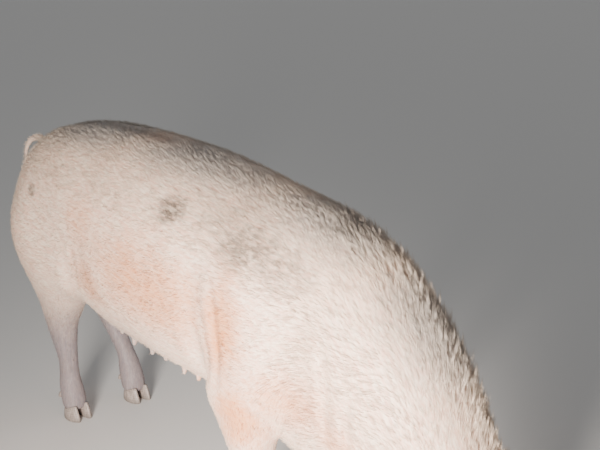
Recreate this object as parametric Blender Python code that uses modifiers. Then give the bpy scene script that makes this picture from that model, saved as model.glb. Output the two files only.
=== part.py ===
"""Large white pig, a young sow standing with her head lowered to sniff the floor.

The flesh is modelled whole from lofted sections, fused and smoothed, and is then parted with thin cuts.
Metres, +X towards the head, +Y to the sow's left, +Z up. The origin is on the floor, under the body's middle.
"""

import math
import random
from dataclasses import dataclass

import bmesh
import bpy
import numpy as np
from mathutils import Matrix, Vector, bvhtree

# Driving dimensions
MID_LENGTH = 0.075  # from under the middle of the trunk to under the middle of the whole length
SEAM_GAP = 0.0003  # gap that touching solids keep
COARSE_VOXEL = 0.008  # grid that the sections are fused on
FINE_VOXEL = 0.0045  # grid that the muscles and folds are shaped on
RING_POINTS = 40  # points round a section
STEPS_PER_GAP = 6  # rings from one named section to the next

# Head
HEAD_X, HEAD_Z = 0.698, 0.310  # middle of the back of the skull
HEAD_PITCH = -52.0  # the face points down by this many degrees
EYE_ALONG, EYE_UP, EYE_RADIUS = 0.128, 0.050, 0.0120
EYE_DEPTH = 0.0092  # centre of the eyeball behind the skin
LID_THICKNESS = 0.0024
LID_WIDE, LID_HIGH = 1.45, 1.15  # how far the lids spread over the face, in radii of the eye
EYE_OPENING_LENGTH, EYE_OPENING_HEIGHT = 0.0235, 0.0145
DISC_HALF_WIDTH, DISC_HALF_HEIGHT, DISC_THICKNESS = 0.055, 0.043, 0.016
DISC_ALONG, DISC_UP, DISC_TILT = 0.329, 0.000, 8.0
NOSTRIL_SIDE, NOSTRIL_UP, NOSTRIL_RADIUS, NOSTRIL_DEPTH = 0.0190, 0.001, 0.0095, 0.018
MOUTH_GAPE, MOUTH_DEPTH = 0.0040, 0.0075

# Ears
EAR_LENGTH, EAR_HALF_WIDTH, EAR_THICKNESS = 0.185, 0.064, 0.0055
EAR_ALONG, EAR_SIDE, EAR_UP = 0.024, 0.076, 0.083
EAR_ROOT_DEPTH = 0.014
EAR_RISE, EAR_FACE = (0.56, 0.60, 0.56), (0.78, 0.50, -0.42)  # the way the left ear points, and its hollow
EAR_COLUMNS, EAR_ROWS = 7, 9

# Legs: how far each foot stands ahead of its place under the hip or shoulder
STEP_HIND_RIGHT, STEP_HIND_LEFT = 0.010, 0.035
STEP_FORE_RIGHT, STEP_FORE_LEFT = -0.025, 0.045
SIDE_HIND_RIGHT, SIDE_HIND_LEFT = 0.076, 0.104
SIDE_FORE_RIGHT, SIDE_FORE_LEFT = 0.126, 0.126

# Claws
CLAW_LENGTH, CLAW_WIDTH, CLAW_HEIGHT, CLAW_SPREAD = 0.070, 0.036, 0.042, 0.0170
DEWCLAW_LENGTH, DEWCLAW_WIDTH, DEWCLAW_RISE, DEWCLAW_SPREAD = 0.036, 0.018, 0.060, 0.022

# Udder and tail
TEAT_PAIRS, TEAT_FIRST_X, TEAT_LAST_X, TEAT_SIDE = 7, -0.275, 0.105, 0.068
TEAT_LENGTH, TEAT_RADIUS, TEAT_SIDES = 0.020, 0.0065, 7
TAIL_ROOT_RADIUS, TAIL_TIP_RADIUS, TAIL_SIDES = 0.0130, 0.0040, 8

# Bristles along the withers and nape, as flat locks that lean back
LOCK_LENGTH, LOCK_WIDTH, LOCK_THICKNESS, LOCK_SINK = 0.050, 0.030, 0.0045, 0.007
LOCK_STEP, LOCK_ROW_SIDE = 0.042, 0.028  # from lock to lock along the neck, and from row to row
LOCK_RANKS = (-2, -1, 0, 1, 2)  # rows of locks, from right to left
LOCK_LEAN_ROOT, LOCK_LEAN_TIP = 60.0, 80.0  # degrees back from square to the skin
LOCK_SPLAY, LOCK_SPLAY_VARIES = 6.0, 8.0  # degrees outwards, more in each row off the middle
LOCK_PLACE_VARIES, LOCK_SIZE_VARIES = 0.004, 0.15
LOCK_TAPER = (0.85, 1.0, 0.72, 0.14)  # width from the root to the tip
LOCK_CLEAR_BACK, LOCK_CLEAR_HEAD = 0.140, 0.034  # bare length at either end of the crest
LOCK_SEED = 7

# Smoothing of the skin
COARSE_ROUNDS, FINE_ROUNDS = 90, 8
RELAX_LEAST, RELAX_MOST = 0.04, 0.5  # on the lower legs and face, and where legs, neck and trunk meet

# Triangles of the skin before it is parted
HEAD_TRIANGLES, BODY_TRIANGLES = 2000, 5300

# Blocks that part the legs from the body: fore and aft, inner and outer side, and their tops
HIND_CELL_X, HIND_CELL_SIDE, HIND_CELL_TOP = (-0.80, -0.33), (0.030, 0.35), (0.415, 0.570)
HIND_CELL_LEAN = 0.035
CELL_BOTTOM = -0.05
FORE_CELL_X, FORE_CELL_SIDE, FORE_CELL_TOP = (0.135, 0.47), (0.055, 0.35), (0.395, 0.500)

# Planes that part the neck from the head and from the torso
HEAD_JOINT_ALONG, HEAD_SPARE = -0.004, 0.03
NECK_PLANE_AT, NECK_PLANE_FACING = (0.465, 0.0, 0.54), (0.966, 0.0, -0.259)

# Rings of the small parts, from one end to the other: place along, and scale
DISC_PROFILE = [(-1.6, 0.84), (-0.5, 0.97), (-0.1, 1.0), (0.3, 0.97), (0.5, 0.88), (0.46, 0.45)]
CLAW_PROFILE = [(0.0, 1.0, 1.0, 0.0), (0.25, 0.98, 0.98, -0.02), (1.0, 0.70, 0.74, -0.10)]
DEWCLAW_PROFILE = [(-0.55, 1.0), (0.0, 0.98), (0.35, 0.72), (0.5, 0.32)]
TEAT_PROFILE = [(0.0, 1.9), (0.42, 1.15), (0.9, 0.85), (1.3, 0.45)]

# Rings of a main claw: rise, length, width, and how far back
CLAW_NARROWS, CLAW_INNER_SHARE, CLAW_TOE_RISE = 0.30, 0.66, 0.20
CLAW_AHEAD, DEWCLAW_BEHIND = 0.012, 0.034  # of the foot's lowest section

# The tail's middle line, from inside the rump to the tip
TAIL_LINE = [
    (-0.640, 0.000, 0.690),
    (-0.676, 0.000, 0.714),
    (-0.706, -0.001, 0.733),
    (-0.736, -0.004, 0.735),
    (-0.762, -0.009, 0.720),
    (-0.773, -0.016, 0.694),
    (-0.762, -0.024, 0.668),
    (-0.738, -0.031, 0.660),
    (-0.720, -0.036, 0.672),
]

SIDES = {"right": -1, "left": 1}
COLLECTION = "large_white_pig"


@dataclass
class Section:
    """One section of a loft. Its widest point lies at (x, z), and up and down are square to the axis."""

    x: float
    z: float
    half_width: float
    up: float
    down: float
    pitch: float = 0.0
    y: float = 0.0
    square_up: float = 2.2
    square_down: float = 2.2

    def row(self):
        return [
            self.x,
            self.y,
            self.z,
            self.pitch,
            self.half_width,
            self.up,
            self.down,
            self.square_up,
            self.square_down,
        ]


@dataclass
class Push:
    """A soft swelling of the skin, or a hollow where its amount is negative, on both sides of the body."""

    name: str
    centre: tuple
    radii: tuple
    amount: float


@dataclass
class Groove:
    """A crease along a few points, on both sides of the body."""

    name: str
    points: tuple
    width: float
    depth: float


TRUNK = [
    Section(x=-0.682, z=0.600, half_width=0.060, up=0.080, down=0.090),
    Section(x=-0.664, z=0.600, half_width=0.110, up=0.130, down=0.130),
    Section(x=-0.608, z=0.600, half_width=0.152, up=0.180, down=0.165),
    Section(x=-0.515, z=0.600, half_width=0.178, up=0.216, down=0.192),
    Section(x=-0.395, z=0.600, half_width=0.190, up=0.232, down=0.252),
    Section(x=-0.240, z=0.590, half_width=0.198, up=0.247, down=0.272),
    Section(x=-0.080, z=0.578, half_width=0.206, up=0.256, down=0.268),
    Section(x=0.060, z=0.568, half_width=0.207, up=0.254, down=0.264),
    Section(x=0.200, z=0.560, half_width=0.201, up=0.240, down=0.262),
    Section(x=0.320, z=0.555, half_width=0.190, up=0.230, down=0.270, square_down=2.6),
    Section(x=0.420, z=0.545, half_width=0.170, up=0.218, down=0.306, square_down=3.0),
    Section(x=0.490, z=0.525, half_width=0.142, up=0.170, down=0.288, square_down=3.0),
    Section(x=0.525, z=0.510, half_width=0.088, up=0.095, down=0.180, square_down=2.6),
]

WITHERS = Section(x=0.220, z=0.560, half_width=0.203, up=0.240, down=0.262)

NECK = [
    Section(x=0.280, z=0.600, half_width=0.155, up=0.170, down=0.210, pitch=-14),
    Section(x=0.420, z=0.560, half_width=0.160, up=0.192, down=0.286, pitch=-26, square_down=3.0),
    Section(x=0.530, z=0.484, half_width=0.152, up=0.178, down=0.272, pitch=-38, square_down=2.9),
    Section(x=0.622, z=0.396, half_width=0.138, up=0.151, down=0.222, pitch=-46, square_down=2.5),
]

# The head's own sections: x is the distance from the back of the skull along the face
HEAD = [
    Section(x=0.000, z=0.000, half_width=0.124, up=0.120, down=0.172),
    Section(x=0.045, z=0.000, half_width=0.120, up=0.112, down=0.158),
    Section(x=0.090, z=0.000, half_width=0.110, up=0.098, down=0.138),
    Section(x=0.130, z=0.000, half_width=0.095, up=0.079, down=0.121),
    Section(x=0.170, z=0.000, half_width=0.081, up=0.063, down=0.106),
    Section(x=0.210, z=0.000, half_width=0.071, up=0.053, down=0.093),
    Section(x=0.250, z=0.000, half_width=0.064, up=0.048, down=0.082),
    Section(x=0.285, z=0.000, half_width=0.058, up=0.045, down=0.071),
    Section(x=0.310, z=0.000, half_width=0.053, up=0.042, down=0.057),
    Section(x=0.326, z=0.000, half_width=0.046, up=0.038, down=0.038),
]

# A leg on the left: x ahead of the origin, y beyond the foot's own side, up and down are fore and aft.
HIND_LEG = [
    Section(x=-0.500, z=0.690, half_width=0.060, up=0.100, down=0.100, y=0.010),
    Section(x=-0.505, z=0.620, half_width=0.080, up=0.150, down=0.150, y=0.022),
    Section(x=-0.505, z=0.540, half_width=0.088, up=0.172, down=0.172, y=0.026),
    Section(x=-0.500, z=0.465, half_width=0.082, up=0.152, down=0.160, y=0.026),
    Section(x=-0.506, z=0.400, half_width=0.067, up=0.108, down=0.130, y=0.020),
    Section(x=-0.520, z=0.340, half_width=0.052, up=0.072, down=0.090, y=0.014),
    Section(x=-0.540, z=0.285, half_width=0.041, up=0.050, down=0.066, y=0.008),
    Section(x=-0.548, z=0.235, half_width=0.035, up=0.040, down=0.050, y=0.004),
    Section(x=-0.545, z=0.170, half_width=0.028, up=0.031, down=0.034, y=0.001),
    Section(x=-0.546, z=0.120, half_width=0.028, up=0.031, down=0.034, y=0.000),
    Section(x=-0.544, z=0.088, half_width=0.033, up=0.036, down=0.038, y=0.000),
    Section(x=-0.538, z=0.056, half_width=0.035, up=0.038, down=0.036, y=0.000),
    Section(x=-0.532, z=0.020, half_width=0.036, up=0.032, down=0.038, y=0.000),
]

FORE_LEG = [
    Section(x=0.350, z=0.660, half_width=0.050, up=0.070, down=0.080, y=-0.035),
    Section(x=0.346, z=0.590, half_width=0.066, up=0.098, down=0.105, y=-0.020),
    Section(x=0.336, z=0.510, half_width=0.076, up=0.114, down=0.124, y=-0.004),
    Section(x=0.318, z=0.435, half_width=0.077, up=0.108, down=0.124, y=0.006),
    Section(x=0.304, z=0.370, half_width=0.072, up=0.094, down=0.114, y=0.008),
    Section(x=0.300, z=0.310, half_width=0.062, up=0.074, down=0.086, y=0.006),
    Section(x=0.302, z=0.255, half_width=0.051, up=0.058, down=0.062, y=0.005),
    Section(x=0.306, z=0.205, half_width=0.042, up=0.047, down=0.045, y=0.003),
    Section(x=0.306, z=0.160, half_width=0.033, up=0.035, down=0.035, y=0.001),
    Section(x=0.306, z=0.118, half_width=0.031, up=0.033, down=0.035, y=0.000),
    Section(x=0.311, z=0.088, half_width=0.035, up=0.038, down=0.039, y=0.000),
    Section(x=0.320, z=0.056, half_width=0.037, up=0.039, down=0.037, y=0.000),
    Section(x=0.327, z=0.020, half_width=0.038, up=0.033, down=0.039, y=0.000),
]

# Each leg: its sections, its side, how far out its foot stands, its step ahead of the hip or shoulder,
# and whether its hock is bent
LEGS = {
    "hind_right": (HIND_LEG, -1, SIDE_HIND_RIGHT, STEP_HIND_RIGHT, False),
    "hind_left": (HIND_LEG, 1, SIDE_HIND_LEFT, STEP_HIND_LEFT, True),
    "fore_right": (FORE_LEG, -1, SIDE_FORE_RIGHT, STEP_FORE_RIGHT, False),
    "fore_left": (FORE_LEG, 1, SIDE_FORE_LEFT, STEP_FORE_LEFT, False),
}

# A bent hock is set back and in: heights where that starts, is full, stays full and ends
HOCK_HEIGHTS = (0.10, 0.24, 0.30, 0.52)
HOCK_BACK, HOCK_IN = 0.058, 0.012

BODY_FORMS = [
    Push("shoulder", centre=(0.330, 0.180, 0.600), radii=(0.085, 0.08, 0.150), amount=0.012),
    Push("behind the shoulder", centre=(0.175, 0.200, 0.560), radii=(0.045, 0.09, 0.150), amount=-0.009),
    Push("flank", centre=(-0.290, 0.190, 0.520), radii=(0.080, 0.08, 0.110), amount=-0.009),
    Push("ham", centre=(-0.550, 0.170, 0.580), radii=(0.110, 0.08, 0.130), amount=0.008),
    Push("hip bone", centre=(-0.410, 0.110, 0.800), radii=(0.070, 0.05, 0.050), amount=0.005),
    Push("elbow", centre=(0.215, 0.165, 0.370), radii=(0.040, 0.05, 0.045), amount=0.010),
    Push("stifle", centre=(-0.385, 0.160, 0.440), radii=(0.060, 0.06, 0.070), amount=0.010),
    Push("vulva", centre=(-0.715, 0.0, 0.600), radii=(0.030, 0.022, 0.034), amount=0.016),
]

BODY_CREASES = [
    Groove("spine", ((-0.560, 0, 0.800), (-0.100, 0, 0.850), (0.150, 0, 0.830)), width=0.022, depth=0.004),
    Groove("armpit", points=((0.165, 0.190, 0.460), (0.175, 0.130, 0.310)), width=0.032, depth=0.009),
    Groove("chest", points=((0.440, 0.170, 0.500), (0.400, 0.150, 0.340)), width=0.040, depth=0.006),
    Groove("flank fold", points=((-0.330, 0.190, 0.500), (-0.365, 0.130, 0.370)), width=0.034, depth=0.007),
    Groove("perineum", ((-0.720, 0, 0.585), (-0.690, 0, 0.500), (-0.640, 0, 0.420)), width=0.014, depth=0.014),
]

# In the head's own frame
HEAD_FORMS = [
    Push("brow", centre=(0.104, 0.060, 0.072), radii=(0.036, 0.030, 0.022), amount=0.005),
    Push("eye hollow", centre=(0.146, 0.062, 0.040), radii=(0.026, 0.024, 0.018), amount=-0.005),
    Push("cheek", centre=(0.080, 0.105, -0.020), radii=(0.055, 0.040, 0.055), amount=0.012),
    Push("jowl", centre=(0.040, 0.075, -0.130), radii=(0.065, 0.055, 0.050), amount=0.014),
    Push("dished face", centre=(0.185, 0, 0.058), radii=(0.050, 0.035, 0.025), amount=-0.006),
    Push("forehead", centre=(0.070, 0, 0.110), radii=(0.050, 0.055, 0.040), amount=0.006),
    Push("upper lip", centre=(0.260, 0.050, -0.034), radii=(0.060, 0.022, 0.013), amount=0.004),
    Push("lower lip", centre=(0.250, 0.045, -0.064), radii=(0.060, 0.022, 0.012), amount=0.003),
]

# The line of the mouth from its corner to the front, along the face and over its axis.
MOUTH_LINE = [
    (0.166, -0.038),
    (0.182, -0.047),
    (0.206, -0.052),
    (0.234, -0.051),
    (0.262, -0.047),
    (0.290, -0.042),
]
MOUTH_FRONT = (0.322, -0.040)


def clear_scene():
    for obj in list(bpy.data.objects):
        bpy.data.objects.remove(obj)


def head_matrix():
    """The head's own frame: X along the face, Y to the left, Z towards the crown."""
    return Matrix.Translation((HEAD_X, 0, HEAD_Z)) @ Matrix.Rotation(math.radians(-HEAD_PITCH), 4, "Y")


def smooth_rows(rows):
    """Rings between the named sections, on a Catmull-Rom curve through them."""
    rows = np.array(rows, float)
    padded = np.vstack([2 * rows[0] - rows[1], rows, 2 * rows[-1] - rows[-2]])
    out = []
    for i in range(len(rows) - 1):
        before, start, end, after = padded[i : i + 4]
        for t in np.arange(STEPS_PER_GAP) / STEPS_PER_GAP:
            out.append(
                0.5
                * (
                    2 * start
                    + (end - before) * t
                    + (2 * before - 5 * start + 4 * end - after) * t**2
                    + (3 * start - before - 3 * end + after) * t**3
                )
            )
    out.append(rows[-1])
    return out


def ring(row, flat):
    """Points of one section. A flat one lies level, as across a leg, and up and down are fore and aft."""
    x, y, z, pitch, half_width, up, down, square_up, square_down = row
    angles = np.linspace(0, 2 * math.pi, RING_POINTS, endpoint=False)
    side, rise = np.cos(angles), np.sin(angles)
    square = np.where(rise > 0, square_up, square_down)
    height = np.where(rise > 0, up, down)
    across = half_width * np.sign(side) * np.abs(side) ** (2 / square)
    lift = height * np.sign(rise) * np.abs(rise) ** (2 / square)
    if flat:
        return np.stack([x + lift, y + across, np.full_like(lift, z)], axis=1)
    tilt = math.radians(pitch)
    return np.stack([x - lift * math.sin(tilt), y + across, z + lift * math.cos(tilt)], axis=1)


def loft(name, sections, flat=False):
    """A closed skin over the sections."""
    rings = [ring(row, flat) for row in smooth_rows([s.row() for s in sections])]
    mesh = bmesh.new()
    loops = [[mesh.verts.new(p) for p in points] for points in rings]
    for near, far in zip(loops, loops[1:]):
        for i in range(RING_POINTS):
            j = (i + 1) % RING_POINTS
            mesh.faces.new((near[i], near[j], far[j], far[i]))
    mesh.faces.new(loops[0])
    mesh.faces.new(list(reversed(loops[-1])))
    bmesh.ops.recalc_face_normals(mesh, faces=mesh.faces)
    return finish_mesh(name, mesh)


def finish_mesh(name, mesh):
    data = bpy.data.meshes.new(name)
    mesh.to_mesh(data)
    mesh.free()
    obj = bpy.data.objects.new(name, data)
    bpy.context.scene.collection.objects.link(obj)
    return obj


def hock_share(z):
    """How far the leg's middle is set back at a height, from 0 to 1."""
    start, full, last, end = HOCK_HEIGHTS
    rise = min(1.0, max(0.0, (z - start) / (full - start)))
    fall = min(1.0, max(0.0, (end - z) / (end - last)))
    return rise * rise * (3 - 2 * rise) * fall * fall * (3 - 2 * fall)


def leg_sections(name):
    """The named leg's sections, swung so that its foot stands a step ahead of the hip or shoulder."""
    sections, side, foot_side, step, bent = LEGS[name]
    hip = sections[1].z
    placed = []
    for s in sections:
        swing = step * min(1.0, max(0.0, (hip - s.z) / hip))
        bend = hock_share(s.z) if bent else 0.0
        placed.append(
            Section(
                x=s.x + swing - HOCK_BACK * bend,
                z=s.z,
                y=side * (foot_side + s.y - HOCK_IN * bend),
                half_width=s.half_width,
                up=s.up,
                down=s.down,
            )
        )
    return placed


def head_sections():
    """The head's sections, carried into the body's frame to follow the neck's."""
    frame = head_matrix()
    placed = []
    for s in HEAD:
        centre = frame @ Vector((s.x, 0, s.z))
        placed.append(
            Section(
                x=centre.x,
                z=centre.z,
                half_width=s.half_width,
                up=s.up,
                down=s.down,
                pitch=HEAD_PITCH,
                square_up=2.3,
                square_down=2.2,
            )
        )
    return placed


def evaluated_mesh(obj):
    """obj's mesh with its modifiers applied, as new mesh data."""
    graph = bpy.context.evaluated_depsgraph_get()
    return bpy.data.meshes.new_from_object(obj.evaluated_get(graph))


def apply_modifiers(obj):
    data = evaluated_mesh(obj)
    obj.modifiers.clear()
    obj.data = data


def join(name, pieces):
    """The pieces' meshes in one object, still overlapping."""
    mesh = bmesh.new()
    for piece in pieces:
        mesh.from_mesh(piece.data)
        bpy.data.objects.remove(piece)
    return finish_mesh(name, mesh)


def mesh_arrays(data):
    """Points, normals and edges of a mesh."""
    points = np.empty(len(data.vertices) * 3)
    data.vertices.foreach_get("co", points)
    normals = np.empty(len(data.vertices) * 3)
    data.vertices.foreach_get("normal", normals)
    edges = np.empty(len(data.edges) * 2, int)
    data.edges.foreach_get("vertices", edges)
    return points.reshape(-1, 3), normals.reshape(-1, 3), edges.reshape(-1, 2)


def set_points(data, points):
    data.vertices.foreach_set("co", points.ravel())
    data.update()


def relax(data, weight, rounds):
    """Moves each point towards the mean of its neighbours, by its weight, as many times as rounds."""
    points, _, edges = mesh_arrays(data)
    ends = edges.T.ravel()
    others = edges[:, ::-1].T.ravel()
    valence = np.bincount(ends, minlength=len(points))[:, None]
    for _ in range(rounds):
        mean = np.stack([np.bincount(ends, points[others, k], len(points)) for k in range(3)], axis=1) / valence
        points = points + weight[:, None] * (mean - points)
    set_points(data, points)


def ramp(values, low, high):
    """0 below low, 1 above high, and smooth between."""
    t = np.clip((values - low) / (high - low), 0, 1)
    return t * t * (3 - 2 * t)


def join_weight(points):
    """How strongly the skin is smoothed: least on the lower legs and the face."""
    above_legs = ramp(points[:, 2], 0.30, 0.44)
    behind_face = 1 - ramp(points[:, 0], 0.60, 0.72)
    return RELAX_LEAST + RELAX_MOST * above_legs * behind_face


def fuse(obj, voxel):
    """One closed skin round everything in obj, on a grid of cubes."""
    remesh = obj.modifiers.new("Fuse", "REMESH")
    remesh.mode = "VOXEL"
    remesh.voxel_size = voxel
    apply_modifiers(obj)


def reach(points, form, side):
    """How much of a push each point takes."""
    centre = np.array([form.centre[0], form.centre[1] * side, form.centre[2]])
    return np.exp(-1.4 * (((points - centre) / np.array(form.radii)) ** 2).sum(axis=1))


def distance_to_line(points, line):
    """Distance of each point to a line of a few points."""
    nearest = np.full(len(points), np.inf)
    for start, end in zip(line, line[1:]):
        along = end - start
        t = np.clip(((points - start) @ along) / (along @ along), 0, 1)
        gap = np.linalg.norm(points - start - t[:, None] * along, axis=1)
        nearest = np.minimum(nearest, gap)
    return nearest


def shape(data, forms, creases, frame):
    """Pushes and creases the skin. Forms and creases are given in the frame."""
    points, normals, _ = mesh_arrays(data)
    inverse = np.array(frame.inverted())
    local = points @ inverse[:3, :3].T + inverse[:3, 3]
    lift = np.zeros(len(points))
    for form in forms:
        sides = (-1, 1) if form.centre[1] else (1,)
        for side in sides:
            lift += form.amount * reach(local, form, side)
    for crease in creases:
        on_middle = all(p[1] == 0 for p in crease.points)
        for side in (1,) if on_middle else (-1, 1):
            line = np.array(crease.points, float) * [1, side, 1]
            lift -= crease.depth * np.exp(-((distance_to_line(local, line) / crease.width) ** 2))
    set_points(data, points + normals * lift[:, None])


def copy_object(obj, name):
    new = obj.copy()
    new.data = obj.data.copy()
    new.name = name
    bpy.context.scene.collection.objects.link(new)
    return new


def cut_away(obj, point, normal, fill):
    """Removes what lies beyond the plane, on the normal's side, and closes the cut where fill is set."""
    mesh = bmesh.new()
    mesh.from_mesh(obj.data)
    geometry = mesh.verts[:] + mesh.edges[:] + mesh.faces[:]
    bmesh.ops.bisect_plane(mesh, geom=geometry, plane_co=point, plane_no=normal, clear_outer=True, dist=1e-6)
    if fill:
        rim = [e for e in mesh.edges if e.is_boundary]
        bmesh.ops.holes_fill(mesh, edges=rim, sides=0)
        bmesh.ops.recalc_face_normals(mesh, faces=mesh.faces)
    mesh.to_mesh(obj.data)
    mesh.free()


def reduce_to(obj, triangles):
    count = sum(len(p.vertices) - 2 for p in obj.data.polygons)
    modifier = obj.modifiers.new("Reduce", "DECIMATE")
    modifier.ratio = min(1.0, triangles / count)
    apply_modifiers(obj)


def combine(obj, other, operation, solver="EXACT"):
    """One Boolean of obj with another closed object, applied."""
    modifier = obj.modifiers.new(operation.title(), "BOOLEAN")
    modifier.operation = operation
    modifier.object = other
    modifier.solver = solver
    apply_modifiers(obj)


def swell(obj, distance):
    """Moves every face of obj's mesh outwards."""
    points, normals, _ = mesh_arrays(obj.data)
    set_points(obj.data, points + normals * distance)


def keep_largest(obj):
    """Leaves only the largest closed surface."""
    mesh = bmesh.new()
    mesh.from_mesh(obj.data)
    bmesh.ops.remove_doubles(mesh, verts=mesh.verts, dist=1e-6)
    seen, shells = set(), []
    for face in mesh.faces:
        if face in seen:
            continue
        shell, front = [], [face]
        seen.add(face)
        while front:
            current = front.pop()
            shell.append(current)
            for edge in current.edges:
                for other in edge.link_faces:
                    if other not in seen:
                        seen.add(other)
                        front.append(other)
        shells.append(shell)
    largest = max(shells, key=lambda shell: sum(f.calc_area() for f in shell))
    extra = [f for shell in shells if shell is not largest for f in shell]
    bmesh.ops.delete(mesh, geom=extra, context="FACES")
    mesh.to_mesh(obj.data)
    mesh.free()


def build_flesh():
    """The whole animal without ears, claws, eyes and tail, as one fine skin."""
    pieces = [
        loft("trunk", TRUNK),
        loft("neck_head", NECK + head_sections()),
    ]
    for name in LEGS:
        pieces.append(loft(name, leg_sections(name), flat=True))
    flesh = join("flesh", pieces)
    fuse(flesh, COARSE_VOXEL)
    points, _, _ = mesh_arrays(flesh.data)
    relax(flesh.data, join_weight(points), COARSE_ROUNDS)
    fuse(flesh, FINE_VOXEL)
    points, _, _ = mesh_arrays(flesh.data)
    relax(flesh.data, np.full(len(points), RELAX_MOST), FINE_ROUNDS)
    shape(flesh.data, BODY_FORMS, BODY_CREASES, Matrix())
    shape(flesh.data, HEAD_FORMS, [], head_matrix())
    return flesh


def surface_point(tree, origin, direction):
    """Where a ray from outside meets the skin, and the skin's normal there."""
    point, normal, _, _ = tree.ray_cast(Vector(origin), Vector(direction).normalized())
    return point, normal


def skin_tree(obj):
    mesh = bmesh.new()
    mesh.from_mesh(obj.data)
    tree = bvhtree.BVHTree.FromBMesh(mesh)
    mesh.free()
    return tree


def axes_matrix(origin, along, up):
    """A frame at origin with its Z along a direction and its Y as near as possible to up."""
    z = Vector(along).normalized()
    x = Vector(up).cross(z).normalized()
    y = z.cross(x)
    return Matrix.Translation(origin) @ Matrix((x, y, z)).transposed().to_4x4()


def ellipsoid(name, frame, radii, across=14, rings=10):
    """A closed ellipsoid about the frame's origin, with its poles on the frame's Z."""
    mesh = bmesh.new()
    bmesh.ops.create_uvsphere(mesh, u_segments=across, v_segments=rings, radius=1.0)
    mesh.transform(frame @ Matrix.Diagonal((*radii, 1.0)))
    return finish_mesh(name, mesh)


def loft_rings(name, rings):
    """A closed skin over rings of points that all have the same count, capped at both ends."""
    mesh = bmesh.new()
    loops = [[mesh.verts.new(p) for p in ring_points] for ring_points in rings]
    count = len(loops[0])
    for near, far in zip(loops, loops[1:]):
        for i in range(count):
            j = (i + 1) % count
            mesh.faces.new((near[i], near[j], far[j], far[i]))
    mesh.faces.new(loops[0])
    mesh.faces.new(loops[-1])
    bmesh.ops.recalc_face_normals(mesh, faces=mesh.faces)
    return finish_mesh(name, mesh)


def subtract(obj, cutter):
    """Cuts obj by the cutter, which is then removed."""
    combine(obj, cutter, "DIFFERENCE")
    bpy.data.objects.remove(cutter)


def unite(obj, pieces):
    """Joins closed pieces to obj in one Boolean union on a collection, which is then emptied."""
    group = bpy.data.collections.new("to_join")
    bpy.context.scene.collection.children.link(group)
    for piece in pieces:
        group.objects.link(piece)
    modifier = obj.modifiers.new("Union", "BOOLEAN")
    modifier.operation = "UNION"
    modifier.operand_type = "COLLECTION"
    modifier.collection = group
    apply_modifiers(obj)
    for piece in pieces:
        bpy.data.objects.remove(piece)
    bpy.data.collections.remove(group)


def socket(host, piece, grow=0.0004):
    """Cuts a place for the piece in its host, wider than the piece by the gap that touching solids keep."""
    cutter = copy_object(piece, "socket")
    swell(cutter, grow)
    subtract(host, cutter)


def eye_frame(tree, side):
    """A frame at the middle of an eyeball, with its Z out of the eye and its X along the opening."""
    head = head_matrix()
    origin = head @ Vector((EYE_ALONG, side * 0.3, EYE_UP))
    target = head @ Vector((EYE_ALONG - 0.004, 0, EYE_UP - 0.028))
    point, normal = surface_point(tree, origin, target - origin)
    outward = (normal + 0.25 * (head.to_3x3() @ Vector((0.4, side * 0.6, 0.3)))).normalized()
    crown = head.to_3x3() @ Vector((0.25, 0, 1))
    return axes_matrix(point - normal * EYE_DEPTH, outward, crown)


def eyeball(name, frame, radius):
    return ellipsoid(name, frame, (radius, radius, radius), across=14, rings=8)


def add_lids(head, frame):
    """Lids swell round the eyeball and leave an almond opening, with a socket that the eyeball fits."""
    lid = EYE_RADIUS + LID_THICKNESS
    swelling = ellipsoid("lids", frame, (lid * LID_WIDE, lid * LID_HIGH, lid), across=14, rings=8)
    unite(head, [swelling])
    height = EYE_OPENING_HEIGHT / 2
    width = EYE_OPENING_LENGTH / 2
    rings = []
    for depth in (0.0, 2.2 * lid):
        angles = np.linspace(0, 2 * math.pi, 14, endpoint=False)
        open_width = width * (1 + 0.25 * (depth > 0))
        points = []
        for a in angles:
            rise = height * math.sin(a) * (1 - 0.25 * abs(math.cos(a)))
            points.append(frame @ Vector((open_width * math.cos(a), rise, depth)))
        rings.append(points)
    subtract(head, loft_rings("opening", rings))
    gap = EYE_RADIUS + SEAM_GAP
    subtract(head, eyeball("eye_socket", frame, gap))


def disc_frame():
    head = head_matrix()
    tilt = Matrix.Rotation(math.radians(90 + DISC_TILT), 4, "Y")
    return head @ Matrix.Translation((DISC_ALONG, 0, DISC_UP)) @ tilt @ Matrix.Rotation(math.radians(90), 4, "Z")


def snout_disc():
    """The flat, rounded plate at the end of the snout, a little wider than the muzzle. Its Z faces forwards."""
    frame = disc_frame()
    rings = []
    for depth, scale in DISC_PROFILE:
        angles = np.linspace(0, 2 * math.pi, 24, endpoint=False)
        points = []
        for a in angles:
            wide = DISC_HALF_WIDTH * scale * np.sign(math.cos(a)) * abs(math.cos(a)) ** 0.85
            high = DISC_HALF_HEIGHT * scale * np.sign(math.sin(a)) * abs(math.sin(a)) ** 0.85
            points.append(frame @ Vector((wide, high, depth * DISC_THICKNESS)))
        rings.append(points)
    return loft_rings("disc", rings)


def cut_nostrils(head):
    frame = disc_frame()
    for side in SIDES.values():
        place = Matrix.Translation((side * NOSTRIL_SIDE, NOSTRIL_UP, 0.5 * DISC_THICKNESS))
        lean = Matrix.Rotation(math.radians(-20 * side), 4, "Z")
        radii = (NOSTRIL_RADIUS * 0.85, NOSTRIL_RADIUS * 1.15, NOSTRIL_DEPTH)
        subtract(head, ellipsoid("nostril", frame @ place @ lean, radii, across=12, rings=8))


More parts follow.
